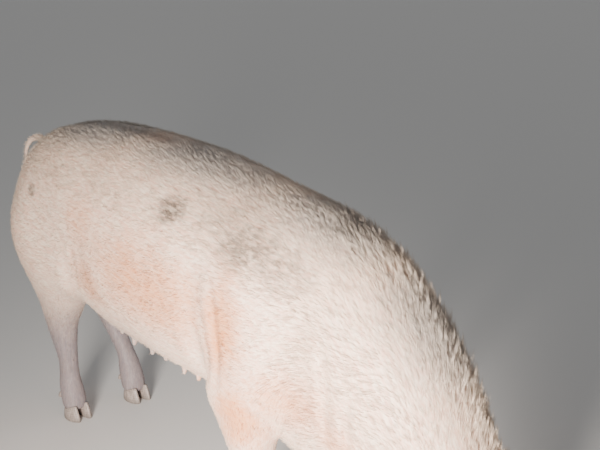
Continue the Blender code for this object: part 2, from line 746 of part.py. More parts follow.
def cut_mouth(head):
    """A wedge along the line of the mouth, from one corner round the front to the other."""
    frame = head_matrix()
    tree = skin_tree(head)
    stations = []
    for along, height in MOUTH_LINE:
        origin = frame @ Vector((along, 0.3, height))
        point, _ = surface_point(tree, origin, frame.to_3x3() @ Vector((0, -1, 0)))
        local = frame.inverted() @ point
        stations.append((along, local.y, height))
    last = stations[-1]
    bend = (0.5 * (last[0] + MOUTH_FRONT[0]) + 0.004, last[1] * 0.66, MOUTH_FRONT[1])
    left = stations + [bend]
    right = [(x, -y, z) for x, y, z in reversed(left)]
    path = left + [(MOUTH_FRONT[0], 0, MOUTH_FRONT[1])] + right
    rings = []
    for index, (x, y, z) in enumerate(path):
        fade = 0.35 if index in (0, len(path) - 1) else 1.0
        outward = Vector((max(0.0, x - 0.30) * 12, y, 0)).normalized() if y else Vector((1, 0, 0))
        surface = Vector((x, y, z))
        inner = surface - outward * MOUTH_DEPTH * fade
        outer = surface + outward * 0.010
        open_half = MOUTH_GAPE * fade * (0.5 + 0.010 / MOUTH_DEPTH)
        upper = outer + Vector((0, 0, open_half))
        lower = outer - Vector((0, 0, open_half))
        rings.append([frame @ corner for corner in (inner, upper, lower)])
    subtract(head, loft_rings("mouth", rings))


def ear(side):
    """A leaf rolled to a cup at its root, leaning forwards, with its hollow facing out and forwards."""
    head = head_matrix()
    turn = head.to_3x3()
    root = Vector((EAR_ALONG, side * EAR_SIDE, EAR_UP))
    rise = Vector((EAR_RISE[0], side * EAR_RISE[1], EAR_RISE[2]))
    face = Vector((EAR_FACE[0], side * EAR_FACE[1], EAR_FACE[2]))
    rise.normalize()
    face = (face - face.dot(rise) * rise).normalized()
    across = rise.cross(face)
    outer, inner = [], []
    for row in range(EAR_ROWS):
        v = row / (EAR_ROWS - 1)
        swell_out = 0.55 + 0.45 * math.sin(min(1.0, v / 0.42) * math.pi / 2)
        taper = max(0.0, 1 - max(0.0, (v - 0.42) / 0.58) ** 2.1) ** 0.8
        width = EAR_HALF_WIDTH * swell_out * taper + 0.004
        roll = math.radians(112 - 66 * v)
        radius = width / roll
        spine = rise * (EAR_LENGTH * v - EAR_ROOT_DEPTH) + face * 0.030 * v**2
        thick = EAR_THICKNESS * (1 - 0.35 * v)
        for points, offset in ((outer, thick / 2), (inner, -thick / 2)):
            line = []
            for column in range(EAR_COLUMNS):
                a = roll * (2 * column / (EAR_COLUMNS - 1) - 1)
                r = radius + offset
                line.append(root + spine + across * r * math.sin(a) + face * (radius - r * math.cos(a)))
            points.append(line)
    mesh = bmesh.new()
    shells = []
    for points in (outer, inner):
        shells.append([[mesh.verts.new(head @ p) for p in line] for line in points])
    for grid in shells:
        for low, high in zip(grid, grid[1:]):
            for i in range(EAR_COLUMNS - 1):
                mesh.faces.new((low[i], low[i + 1], high[i + 1], high[i]))
    first, second = shells
    rims = [
        ([line[0] for line in first], [line[0] for line in second]),
        ([line[-1] for line in first], [line[-1] for line in second]),
        (first[0], second[0]),
        (first[-1], second[-1]),
    ]
    for near, far in rims:
        for i in range(len(near) - 1):
            mesh.faces.new((near[i], near[i + 1], far[i + 1], far[i]))
    bmesh.ops.triangulate(mesh, faces=mesh.faces)
    bmesh.ops.recalc_face_normals(mesh, faces=mesh.faces)
    return finish_mesh("ear_" + ("left" if side > 0 else "right"), mesh)


def claw(name, middle_x, middle_y, side):
    """One main claw: a wall that slopes back and in from a flat sole. side points off the cleft."""
    rings = []
    for rise, length, width, back in CLAW_PROFILE:
        points = []
        for k in range(12):
            a = 2 * math.pi * k / 12
            forward = math.cos(a)
            reach_x = 0.5 * CLAW_LENGTH * length * forward
            narrow = 1 - CLAW_NARROWS * max(0.0, forward) ** 2
            reach_y = 0.5 * CLAW_WIDTH * width * math.sin(a) * narrow
            flat = CLAW_INNER_SHARE if reach_y * side < 0 else 1.0
            height = CLAW_HEIGHT * rise * (1 - CLAW_TOE_RISE + CLAW_TOE_RISE * forward)
            points.append((middle_x + reach_x + back * CLAW_LENGTH, middle_y + reach_y * flat, height))
        rings.append(points)
    return loft_rings(name, rings)


def dewclaw(name, middle_x, middle_y, side):
    """One of the two small claws behind the foot, clear of the floor and pointing back and down."""
    frame = axes_matrix(
        Vector((middle_x, middle_y + side * DEWCLAW_SPREAD, DEWCLAW_RISE)),
        Vector((-0.55, side * 0.28, -0.80)),
        Vector((-1, 0, 0)),
    )
    rings = []
    for along, scale in DEWCLAW_PROFILE:
        points = []
        for k in range(8):
            a = 2 * math.pi * k / 8
            radius = 0.5 * DEWCLAW_WIDTH * scale
            points.append(frame @ Vector((radius * math.cos(a), radius * 0.85 * math.sin(a), along * DEWCLAW_LENGTH)))
        rings.append(points)
    return loft_rings(name, rings)


def claws_of(leg_name):
    """The two claws and two dewclaws of a foot, set about its lowest section."""
    last = leg_sections(leg_name)[-1]
    x, y, side = last.x, last.y, LEGS[leg_name][1]
    pieces = []
    for label, away in (("outer", side), ("inner", -side)):
        pieces.append(claw(f"claw_{leg_name}_{label}", x + CLAW_AHEAD, y + away * CLAW_SPREAD, away))
        pieces.append(dewclaw(f"dewclaw_{leg_name}_{label}", x - DEWCLAW_BEHIND, y, away))
    return pieces


def teats(belly):
    """Two rows of small, pointed teats, set on the belly where it faces down."""
    tree = skin_tree(belly)
    step = (TEAT_LAST_X - TEAT_FIRST_X) / (TEAT_PAIRS - 1)
    pieces = []
    for index in range(TEAT_PAIRS):
        x = TEAT_FIRST_X + index * step
        for side in SIDES.values():
            stagger = 0.010 * side * (index % 2)
            point, normal = surface_point(tree, (x + stagger, side * TEAT_SIDE, 0.0), (0, 0, 1))
            axis = (normal + Vector((0.10, 0, -0.6))).normalized()
            frame = axes_matrix(point - axis * 0.006, axis, (1, 0, 0))
            length = TEAT_LENGTH * (0.85 + 0.12 * ((index * 5) % 3))
            rings = []
            for along, scale in TEAT_PROFILE:
                circle = []
                for k in range(TEAT_SIDES):
                    a = 2 * math.pi * k / TEAT_SIDES
                    radius = TEAT_RADIUS * scale
                    circle.append(frame @ Vector((radius * math.cos(a), radius * math.sin(a), along * length)))
                rings.append(circle)
            pieces.append(loft_rings("teat", rings))
    return pieces


def tail_path():
    """The middle line of the tail: up and back from the rump, then over and down in one curl to the right."""
    rows = smooth_rows(TAIL_LINE)[::3]
    return [Vector(row) for row in rows]


def tail():
    """A thin tail with a round tip."""
    path = tail_path()
    rings = []
    for index, point in enumerate(path):
        before = path[max(0, index - 1)]
        after = path[min(len(path) - 1, index + 1)]
        frame = axes_matrix(point, after - before, (0, 1, 0.2))
        t = index / (len(path) - 1)
        radius = TAIL_ROOT_RADIUS + (TAIL_TIP_RADIUS - TAIL_ROOT_RADIUS) * t
        angles = [2 * math.pi * k / TAIL_SIDES for k in range(TAIL_SIDES)]
        rings.append([frame @ Vector((radius * math.cos(a), radius * math.sin(a), 0)) for a in angles])
    return loft_rings("tail", rings)


def crest_point(tree, row, side):
    """The skin and its normal over a section of the neck, a little to one side of the middle."""
    x, _, z, pitch = row[:4]
    tilt = math.radians(pitch)
    up = Vector((-math.sin(tilt), 0, math.cos(tilt)))
    return surface_point(tree, Vector((x, side, z)) + up * 0.5, -up)


def crest_rows(tree):
    """Sections at equal steps along the top of the neck, from the withers to behind the skull."""
    rows = np.array(smooth_rows([s.row() for s in (WITHERS, *NECK, head_sections()[0])]))
    tops = [crest_point(tree, row, 0.0)[0] for row in rows]
    lengths = [0.0]
    for near, far in zip(tops, tops[1:]):
        lengths.append(lengths[-1] + (far - near).length)
    places = np.arange(LOCK_CLEAR_BACK, lengths[-1] - LOCK_CLEAR_HEAD, LOCK_STEP)
    return [[np.interp(place, lengths, rows[:, k]) for k in range(4)] for place in places]


def lock(root, normal, back, scale):
    """A flat, tapered lock: it leaves the skin leaning back, and bends down along it towards the tip."""
    back = (back - back.dot(normal) * normal).normalized()
    across = back.cross(normal)
    point = root - normal * LOCK_SINK
    step = (LOCK_LENGTH * scale + LOCK_SINK) / (len(LOCK_TAPER) - 1)
    rings = []
    for index, taper in enumerate(LOCK_TAPER):
        share = index / (len(LOCK_TAPER) - 1)
        lean = math.radians(LOCK_LEAN_ROOT + (LOCK_LEAN_TIP - LOCK_LEAN_ROOT) * share)
        way = normal * math.cos(lean) + back * math.sin(lean)
        flat = across.cross(way)
        wide = across * LOCK_WIDTH * scale * taper / 2
        thick = flat * LOCK_THICKNESS * taper / 2
        rings.append([point + wide, point + thick, point - wide, point - thick])
        point = point + way * step
    return loft_rings("lock", rings)


def crest(body):
    """Rows of locks on the withers and nape. Every other row is set half a step back, as shingles are."""
    tree = skin_tree(body)
    chance = random.Random(LOCK_SEED)
    pieces = []
    for index, row in enumerate(crest_rows(tree)):
        along = Vector((math.cos(math.radians(row[3])), 0, math.sin(math.radians(row[3]))))
        for rank in LOCK_RANKS:
            side = rank * LOCK_ROW_SIDE + chance.uniform(-LOCK_PLACE_VARIES, LOCK_PLACE_VARIES)
            shift = along * (chance.uniform(-LOCK_PLACE_VARIES, LOCK_PLACE_VARIES) - LOCK_STEP / 2 * (rank % 2))
            place = [row[0] + shift.x, 0, row[2] + shift.z, row[3]]
            point, normal = crest_point(tree, place, side)
            splay = math.radians(rank * LOCK_SPLAY + chance.uniform(-LOCK_SPLAY_VARIES, LOCK_SPLAY_VARIES))
            back = Vector((0, math.sin(splay), 0)) - along * math.cos(splay)
            pieces.append(lock(point, normal, back, 1 + chance.uniform(-LOCK_SIZE_VARIES, LOCK_SIZE_VARIES)))
    return pieces


def cell(name, corners):
    """A convex block over eight corners."""
    mesh = bmesh.new()
    points = [mesh.verts.new(c) for c in corners]
    bmesh.ops.convex_hull(mesh, input=points)
    bmesh.ops.recalc_face_normals(mesh, faces=mesh.faces)
    return finish_mesh(name, mesh)


def leg_cell(side, x_range, sides, tops, lean=0.0):
    """The block of space that a leg fills, under a plane that slopes down towards the middle of the body."""
    corners = []
    for x in x_range:
        shift = lean if x == x_range[1] else 0.0
        for out in sides:
            corners.append((x, side * out, CELL_BOTTOM))
        for out, top in zip(sides, tops):
            corners.append((x + shift, side * out, top))
    return cell("cell", corners)


def part_leg(body, name, block):
    """Parts a leg from the body along the faces of the block, and leaves the seam between them."""
    leg = copy_object(body, name)
    combine(leg, block, "INTERSECT")
    keep_largest(leg)
    swell(block, 2 * SEAM_GAP)
    subtract(body, block)
    keep_largest(body)
    return leg


def part_body(flesh):
    """Cuts the skin into head, neck, torso and four legs."""
    frame = head_matrix()
    face = (frame.to_3x3() @ Vector((1, 0, 0))).normalized()
    joint = frame @ Vector((HEAD_JOINT_ALONG, 0, 0))
    head = copy_object(flesh, "head")
    cut_away(head, joint - face * HEAD_SPARE, -face, fill=False)
    keep_largest(head)
    reduce_to(head, HEAD_TRIANGLES)
    cut_away(head, joint, -face, fill=True)
    body = flesh
    reduce_to(body, BODY_TRIANGLES)
    legs = {}
    for name, side in SIDES.items():
        block = leg_cell(side, HIND_CELL_X, HIND_CELL_SIDE, HIND_CELL_TOP, HIND_CELL_LEAN)
        legs["hind_" + name] = part_leg(body, "leg_hind_" + name, block)
        block = leg_cell(side, FORE_CELL_X, FORE_CELL_SIDE, FORE_CELL_TOP)
        legs["fore_" + name] = part_leg(body, "leg_fore_" + name, block)
    unite(body, crest(body))
    keep_largest(body)
    cut_away(body, joint - face * SEAM_GAP, face, fill=True)
    keep_largest(body)
    plane = Vector(NECK_PLANE_AT)
    normal = Vector(NECK_PLANE_FACING).normalized()
    neck = copy_object(body, "neck")
    cut_away(neck, plane, -normal, fill=True)
    keep_largest(neck)
    cut_away(body, plane - normal * SEAM_GAP, normal, fill=True)
    keep_largest(body)
    body.name = "torso"
    return head, neck, body, legs


COLOURS = {
    "torso": (0.72, 0.58, 0.52),
    "neck": (0.74, 0.60, 0.54),
    "head": (0.73, 0.57, 0.51),
    "leg": (0.66, 0.54, 0.52),
    "tail": (0.68, 0.53, 0.48),
    "ear": (0.74, 0.50, 0.46),
    "eye": (0.035, 0.022, 0.018),
    "claw": (0.46, 0.39, 0.35),
    "dewclaw": (0.42, 0.35, 0.31),
}


def dress(obj):
    """Each node's own material, and its shading."""
    kind = obj.name.split("_")[0]
    material = bpy.data.materials.new(obj.name)
    material.use_nodes = True
    shader = material.node_tree.nodes["Principled BSDF"]
    shader.inputs["Base Color"].default_value = (*COLOURS[kind], 1)
    shader.inputs["Roughness"].default_value = 0.12 if kind == "eye" else 0.62
    shader.inputs["Metallic"].default_value = 0.0
    obj.data.materials.clear()
    obj.data.materials.append(material)
    obj.data.shade_smooth()
    obj.data.set_sharp_from_angle(angle=math.radians(50))


def collect(nodes):
    group = bpy.data.collections.new(COLLECTION)
    bpy.context.scene.collection.children.link(group)
    for obj in nodes:
        bpy.context.scene.collection.objects.unlink(obj)
        group.objects.link(obj)
        dress(obj)


def shift_origin(nodes):
    """Sets the origin under the middle of the whole length."""
    for obj in nodes:
        obj.data.transform(Matrix.Translation((-MID_LENGTH, 0, 0)))


def main():
    clear_scene()
    flesh = build_flesh()
    head, neck, torso, legs = part_body(flesh)
    unite(head, [snout_disc()])
    cut_nostrils(head)
    cut_mouth(head)
    tree = skin_tree(head)
    frames = {name: eye_frame(tree, side) for name, side in SIDES.items()}
    nodes = []
    for name, frame in frames.items():
        add_lids(head, frame)
        nodes.append(eyeball("eye_" + name, frame, EYE_RADIUS))
    for side in SIDES.values():
        piece = ear(side)
        socket(head, piece)
        nodes.append(piece)
    keep_largest(head)
    for name, leg in legs.items():
        for piece in claws_of(name):
            socket(leg, piece)
            nodes.append(piece)
        keep_largest(leg)
        nodes.append(leg)
    unite(torso, teats(torso))
    keep_largest(torso)
    curl = tail()
    socket(torso, curl)
    keep_largest(torso)
    nodes += [head, neck, torso, curl]
    shift_origin(nodes)
    collect(nodes)


main()
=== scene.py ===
"""A large white sow standing with her head lowered to sniff the floor: skin, bristles, ears, eyes and claws.

The skin is lofted from named sections, fused and smoothed as flesh, and then given its folds, lids, lips and
nostrils. Tufts of bristles follow the lie of the coat over it.
Metres, +X towards the head, +Y to the sow's left, +Z up.
"""

from __future__ import annotations

import logging
import math
from collections.abc import Sequence
from dataclasses import astuple, dataclass, field, replace
from enum import Enum

import bmesh
import bpy
import numpy as np
from mathutils import Matrix, Vector, bvhtree, noise

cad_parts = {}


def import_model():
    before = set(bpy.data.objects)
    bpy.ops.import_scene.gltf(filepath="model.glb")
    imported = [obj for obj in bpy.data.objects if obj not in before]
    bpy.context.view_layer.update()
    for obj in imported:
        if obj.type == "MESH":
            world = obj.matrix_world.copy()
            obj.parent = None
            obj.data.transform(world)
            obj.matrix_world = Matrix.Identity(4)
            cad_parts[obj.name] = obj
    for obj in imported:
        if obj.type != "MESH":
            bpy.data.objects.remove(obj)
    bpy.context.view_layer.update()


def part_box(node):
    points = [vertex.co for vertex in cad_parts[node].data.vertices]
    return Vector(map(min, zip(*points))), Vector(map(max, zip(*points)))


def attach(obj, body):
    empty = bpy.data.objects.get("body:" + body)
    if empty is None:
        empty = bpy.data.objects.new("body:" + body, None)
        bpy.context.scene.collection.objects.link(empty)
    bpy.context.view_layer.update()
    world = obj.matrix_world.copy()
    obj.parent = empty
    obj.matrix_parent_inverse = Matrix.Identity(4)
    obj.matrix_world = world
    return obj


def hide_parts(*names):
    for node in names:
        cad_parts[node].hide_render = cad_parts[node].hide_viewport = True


LOG = logging.getLogger("sow")

Array = np.ndarray
Mesh = bmesh.types.BMesh
Piece = bpy.types.Object
Socket = bpy.types.NodeSocket
Colour = tuple[float, float, float]
Point = tuple[float, float, float]
Profile = tuple[tuple[float, float], ...]
Spots = tuple[tuple[Point, Point, float], ...]

MID_LENGTH = 0.075  # from under the middle of the trunk to the origin
SIDES = {"right": -1, "left": 1}

HEAD_X, HEAD_Z, HEAD_PITCH = 0.698 - MID_LENGTH, 0.31, -52.0
DISC_ALONG, DISC_TILT = 0.329, 8.0
COAT_DEPTH = 0.0016  # skin under the outside of the short coat
CREST_TURN = 18.0  # degrees that the crest falls to the left of the middle


class Region(Enum):
    """Parts of the body whose bristles differ."""

    BACK = "back"
    FLANK = "flank"
    BELLY = "belly"
    NECK = "neck"
    CREST = "crest"
    HEAD = "head"
    LEGS = "legs"
    TAIL = "tail"


@dataclass(frozen=True)
class Section:
    """One section of a loft: its widest point lies at (x, z), and up and down are measured square to the axis."""

    x: float
    z: float
    half_width: float
    up: float
    down: float
    pitch: float = 0.0
    y: float = 0.0
    square_up: float = 2.2
    square_down: float = 2.2


@dataclass(frozen=True)
class Swelling:
    """A soft swelling of the skin, or a hollow where its amount is negative, on both sides of the body."""

    name: str
    centre: Point
    radii: Point
    amount: float


@dataclass(frozen=True)
class Fold:
    """A crease along a few points, on both sides of the body unless it runs down the middle."""

    name: str
    points: tuple[Point, ...]
    width: float
    depth: float
    lip: float = 0.0

    def pressed(self, lift: Array, gap: Array) -> Array:
        """The skin's lift with the fold pressed in, from the distance to its line."""
        sunk = lift - self.depth * bell(gap, 0.0, self.width)
        return sunk + self.lip * bell(gap, 2.1 * self.width, self.width)


def head_frame() -> Matrix:
    """The head's own frame: X along the face, Y to the left, Z towards the crown."""
    return Matrix.Translation((HEAD_X, 0, HEAD_Z)) @ Matrix.Rotation(math.radians(-HEAD_PITCH), 4, "Y")


def disc_frame() -> Matrix:
    """The frame of the flat end of the snout: X across, Y up, Z forwards.

    Returns:
        The frame.
    """
    tilt = Matrix.Rotation(math.radians(90 + DISC_TILT), 4, "Y")
    turn = Matrix.Rotation(math.radians(90), 4, "Z")
    return head_frame() @ Matrix.Translation((DISC_ALONG, 0, 0)) @ tilt @ turn


def frame_along(origin: Sequence[float], along: Sequence[float], up: Sequence[float]) -> Matrix:
    """A frame at a point.

    Args:
        origin: The point.
        along: The way of the frame's Z.
        up: The way that its Y is nearest to.

    Returns:
        The frame's matrix.
    """
    z = Vector(along).normalized()
    x = Vector(up).cross(z).normalized()
    return Matrix.Translation(origin) @ Matrix((x, z.cross(x), z)).transposed().to_4x4()


def ramp(values: Array, low: float, high: float) -> Array:
    """0 below low, 1 above high, and smooth between."""
    t = np.clip((values - low) / (high - low), 0, 1)
    return t * t * (3 - 2 * t)


def bell(values: Array, middle: float | Array, width: float) -> Array:
    """1 at the middle, falling off smoothly over the width on both sides."""
    return np.exp(-(((values - middle) / width) ** 2))


def smooth_rows(rows: Sequence[Sequence[float]], steps: int) -> Array:
    """Rows between the named ones, on a Catmull-Rom curve through them.

    Args:
        rows: The named rows of numbers.
        steps: Rows from one named row to the next.

    Returns:
        All the rows.
    """
    named = np.array(rows, float)
    padded = np.vstack([2 * named[0] - named[1], named, 2 * named[-1] - named[-2]])
    t = (np.arange(steps) / steps)[:, None]
    out = []
    for index in range(len(named) - 1):
        before, start, end, after = padded[index : index + 4]
        bend = 2 * before - 5 * start + 4 * end - after
        twist = 3 * start - before - 3 * end + after
        out.append(0.5 * (2 * start + (end - before) * t + bend * t**2 + twist * t**3))
    return np.vstack([*out, named[-1:]])


def to_array(matrix: Matrix) -> Array:
    """A frame as a 4 by 4 array."""
    return np.array(matrix, float)


def carried(points: Array, matrix: Matrix) -> Array:
    """Points carried by a frame."""
    m = to_array(matrix)
    return points @ m[:3, :3].T + m[:3, 3]


def oval(angles: Array, wide: float, high: float, level: float) -> Array:
    """Points round an oval that lies level in its frame."""
    return np.stack([wide * np.cos(angles), high * np.sin(angles), np.full_like(angles, level)], axis=1)


def round_angles(count: int) -> Array:
    """Angles spread evenly round a circle."""
    return np.linspace(0, 2 * math.pi, count, endpoint=False)


def on_side(point: Point | tuple[Point, ...], side: int) -> Array:
    """A point or a way, or several, given for the left, on the asked side."""
    return np.array(point) * [1, side, 1]


def side_name(side: int) -> str:
    """The word for a side."""
    return "left" if side > 0 else "right"


def laid(ways: Array, normals: Array) -> Array:
    """Ways laid flat on the skin, each of length 1."""
    flat = ways - (ways * normals).sum(axis=1)[:, None] * normals
    return flat / np.maximum(np.linalg.norm(flat, axis=1), 1e-6)[:, None]


def values_of(items: bpy.types.bpy_prop_collection, name: str, width: int, kind: type = float) -> Array:
    """One value of each item of a mesh, in rows of so many numbers.

    Args:
        items: The mesh's vertices, edges or triangles.
        name: The value's name.
        width: Numbers in a row.
        kind: The numbers' type.

    Returns:
        The rows.
    """
    values = np.empty(len(items) * width, kind)
    items.foreach_get(name, values)
    return values.reshape(-1, width)


class Shaper:
    """Makes and changes meshes."""

    @staticmethod
    def place(name: str, data: bpy.types.ID) -> Piece:
        """A new object of the scene that holds the data.

        Args:
            name: The object's name.
            data: A mesh, a light or a camera.

        Returns:
            The object.
        """
        piece = bpy.data.objects.new(name, data)
        bpy.context.scene.collection.objects.link(piece)
        return piece

    @classmethod
    def finish(cls, name: str, mesh: Mesh) -> Piece:
        """A new, smoothly shaded object that holds the mesh, which is freed.

        Args:
            name: The object's name.
            mesh: The mesh.

        Returns:
            The object.
        """
        data = bpy.data.meshes.new(name)
        mesh.to_mesh(data)
        mesh.free()
        data.shade_smooth()
        return cls.place(name, data)

    @staticmethod
    def close(mesh: Mesh) -> None:
        """Fills the open ends and turns the faces out."""
        bmesh.ops.holes_fill(mesh, edges=[e for e in mesh.edges if e.is_boundary], sides=0)
        bmesh.ops.recalc_face_normals(mesh, faces=mesh.faces)

    @staticmethod
    def grid(rows: Array) -> Mesh:
        """A net of faces over rows of points, each of which runs round to its own start.

        Args:
            rows: Points as an array of rows, columns and coordinates.

        Returns:
            The mesh.
        """
        rows = np.concatenate([rows, rows[:, :1]], axis=1)
        mesh = bmesh.new()
        bmesh.ops.create_grid(mesh, x_segments=rows.shape[1] - 1, y_segments=rows.shape[0] - 1, size=0.5)
        mesh.verts.ensure_lookup_table()
        for vert, point in zip(mesh.verts, rows.reshape(-1, 3)):
            vert.co = point
        bmesh.ops.remove_doubles(mesh, verts=mesh.verts, dist=1e-7)
        return mesh

    @classmethod
    def tube(cls, name: str, rings: Array) -> Piece:
        """A closed skin over rings of points, capped at both ends.

        Args:
            name: The piece's name.
            rings: Points as an array of rings, points and coordinates.

        Returns:
            The piece.
        """
        mesh = cls.grid(rings)
        cls.close(mesh)
        return cls.finish(name, mesh)

    @staticmethod
    def evaluate(piece: Piece) -> None:
        """Applies a piece's modifiers.

        Args:
            piece: The piece.
        """
        graph = bpy.context.evaluated_depsgraph_get()
        data = bpy.data.meshes.new_from_object(piece.evaluated_get(graph))
        piece.modifiers.clear()
        piece.data = data

    @classmethod
    def fuse(cls, piece: Piece, voxel: float) -> None:
        """One closed skin round everything in the piece, on a grid of cubes.

        Args:
            piece: The piece.
            voxel: The cubes' size.
        """
        remesh = piece.modifiers.new("Fuse", "REMESH")
        remesh.mode = "VOXEL"
        remesh.voxel_size = voxel
        cls.evaluate(piece)

    @classmethod
    def join(cls, name: str, pieces: Sequence[Piece]) -> Piece:
        """The pieces' meshes in one object, still overlapping.

        Args:
            name: The new object's name.
            pieces: The pieces, which are taken away.

        Returns:
            The object.
        """
        mesh = bmesh.new()
        for piece in pieces:
            mesh.from_mesh(piece.data)
            bpy.data.objects.remove(piece)
        return cls.finish(name, mesh)

    @classmethod
    def reduce(cls, piece: Piece, triangles: int) -> None:
        """Leaves about as many triangles as asked, most of them where the surface bends.

        Args:
            piece: The piece.
            triangles: How many to leave.
        """
        count = sum(len(p.vertices) - 2 for p in piece.data.polygons)
        if count > triangles:
            modifier = piece.modifiers.new("Reduce", "DECIMATE")
            modifier.ratio = triangles / count
            cls.evaluate(piece)


class Skin:
    """A mesh held as arrays, to be moved about by formulas."""

    def __init__(self, piece: Piece) -> None:
        """Takes the piece and reads it."""
        self.piece = piece
        self.read()

    def read(self) -> None:
        """Reads the piece's points, normals and edges."""
        data = self.piece.data
        self.points = values_of(data.vertices, "co", 3)
        self.normals = values_of(data.vertices, "normal", 3)
        self.edges = values_of(data.edges, "vertices", 2, int)

    def write(self) -> None:
        """Writes the points back and reads the new normals."""
        data = self.piece.data
        data.vertices.foreach_set("co", self.points.ravel())
        data.update()
        self.normals = values_of(data.vertices, "normal", 3)

    def lift(self, amount: Array) -> None:
        """Moves each point along its normal."""
        self.points = self.points + self.normals * amount[:, None]
        self.write()

    def relax(self, weight: Array, rounds: int) -> None:
        """Moves each point towards the mean of its neighbours, by its weight, as many times as rounds.

        Args:
            weight: Share of the way that each point moves.
            rounds: How many times.
        """
        ends = self.edges.T.ravel()
        others = self.edges[:, ::-1].T.ravel()
        count = len(self.points)
        valence = np.bincount(ends, minlength=count)[:, None]
        points = self.points
        for _ in range(rounds):
            mean = np.stack([np.bincount(ends, points[others, k], count) for k in range(3)], axis=1) / valence
            points = points + weight[:, None] * (mean - points)
        self.points = points
        self.write()

    def local(self, frame: Matrix) -> Array:
        """The points in a frame."""
        return carried(self.points, frame.inverted())

    def swell(self, forms: Sequence[Swelling], frame: Matrix) -> None:
        """Adds swellings and hollows that are given in a frame.

        Args:
            forms: The swellings.
            frame: Their frame.
        """
        local = self.local(frame)
        lift = np.zeros(len(local))
        for form in forms:
            for side in (-1, 1) if form.centre[1] else (1,):
                off = (local - on_side(form.centre, side)) / np.array(form.radii)
                lift += form.amount * np.exp(-1.4 * (off**2).sum(axis=1))
        self.lift(lift)

    def crease(self, folds: Sequence[Fold], frame: Matrix) -> None:
        """Adds creases that are given in a frame, each with a soft lip along it where it has one.

        Args:
            folds: The creases.
            frame: Their frame.
        """
        local = self.local(frame)
        lift = np.zeros(len(local))
        for fold in folds:
            on_middle = all(p[1] == 0 for p in fold.points)
            for side in (1,) if on_middle else (-1, 1):
                lift = fold.pressed(lift, distance_to_line(local, smooth_rows(on_side(fold.points, side), 5)))
        self.lift(lift)

    def refine(self, centre: Sequence[float], radius: float) -> None:
        """Divides the faces round a point, for finer shapes there.

        Args:
            centre: The point.
            radius: How far around it.
        """
        mesh = bmesh.new()
        mesh.from_mesh(self.piece.data)
        near = np.linalg.norm(self.points - np.array(centre), axis=1) < radius
        edges = [e for e in mesh.edges if near[e.verts[0].index] and near[e.verts[1].index]]
        bmesh.ops.subdivide_edges(mesh, edges=edges, cuts=1, use_grid_fill=True, smooth=0.0)
        bmesh.ops.triangulate(mesh, faces=[f for f in mesh.faces if len(f.verts) > 4])
        mesh.to_mesh(self.piece.data)
        mesh.free()
        self.read()

    def tree(self) -> bvhtree.BVHTree:
        """A tree for rays against the mesh as it is now."""
        polygons = [tuple(p.vertices) for p in self.piece.data.polygons]
        return bvhtree.BVHTree.FromPolygons([tuple(p) for p in self.points], polygons)


def distance_to_line(points: Array, line: Array) -> Array:
    """Distance of each point to a line of a few points.

    Args:
        points: The points.
        line: The line's points.

    Returns:
        The distances.
    """
    nearest = np.full(len(points), np.inf)
    for start, end in zip(line, line[1:]):
        along = end - start
        t = np.clip(((points - start) @ along) / (along @ along), 0, 1)
        nearest = np.minimum(nearest, np.linalg.norm(points - start - t[:, None] * along, axis=1))
    return nearest


# Sections of the body: x, z, half width, up and down
TRUNK = (
    Section(-0.682, 0.6, 0.06, 0.08, 0.09),
    Section(-0.664, 0.6, 0.11, 0.13, 0.13),
    Section(-0.608, 0.6, 0.152, 0.18, 0.165),
    Section(-0.515, 0.6, 0.178, 0.216, 0.192),
    Section(-0.395, 0.6, 0.19, 0.232, 0.252),
    Section(-0.24, 0.59, 0.198, 0.247, 0.272),
    Section(-0.08, 0.578, 0.206, 0.256, 0.268),
    Section(0.06, 0.568, 0.207, 0.254, 0.264),
    Section(0.2, 0.56, 0.201, 0.24, 0.262),
    Section(0.32, 0.555, 0.19, 0.23, 0.27, square_down=2.6),
    Section(0.42, 0.545, 0.17, 0.218, 0.306, square_down=3.0),
    Section(0.49, 0.525, 0.142, 0.17, 0.288, square_down=3.0),
    Section(0.525, 0.51, 0.088, 0.095, 0.18, square_down=2.6),
)

NECK = (
    Section(0.28, 0.6, 0.155, 0.17, 0.21, pitch=-14),
    Section(0.42, 0.56, 0.16, 0.192, 0.286, pitch=-26, square_down=3.0),
    Section(0.53, 0.484, 0.152, 0.178, 0.272, pitch=-38, square_down=2.9),
    Section(0.622, 0.396, 0.138, 0.151, 0.222, pitch=-46, square_down=2.5),
)

# The head's own sections: x is the distance from the back of the skull along the face
HEAD = (
    Section(0.0, 0.0, 0.124, 0.12, 0.172),
    Section(0.045, 0.0, 0.12, 0.112, 0.158),
    Section(0.09, 0.0, 0.11, 0.098, 0.138),
    Section(0.13, 0.0, 0.095, 0.079, 0.121),
    Section(0.17, 0.0, 0.081, 0.063, 0.106),
    Section(0.21, 0.0, 0.071, 0.053, 0.093),
    Section(0.25, 0.0, 0.064, 0.048, 0.082),
    Section(0.285, 0.0, 0.058, 0.045, 0.071),
    Section(0.31, 0.0, 0.053, 0.042, 0.057),
    Section(0.326, 0.0, 0.046, 0.038, 0.038),
)

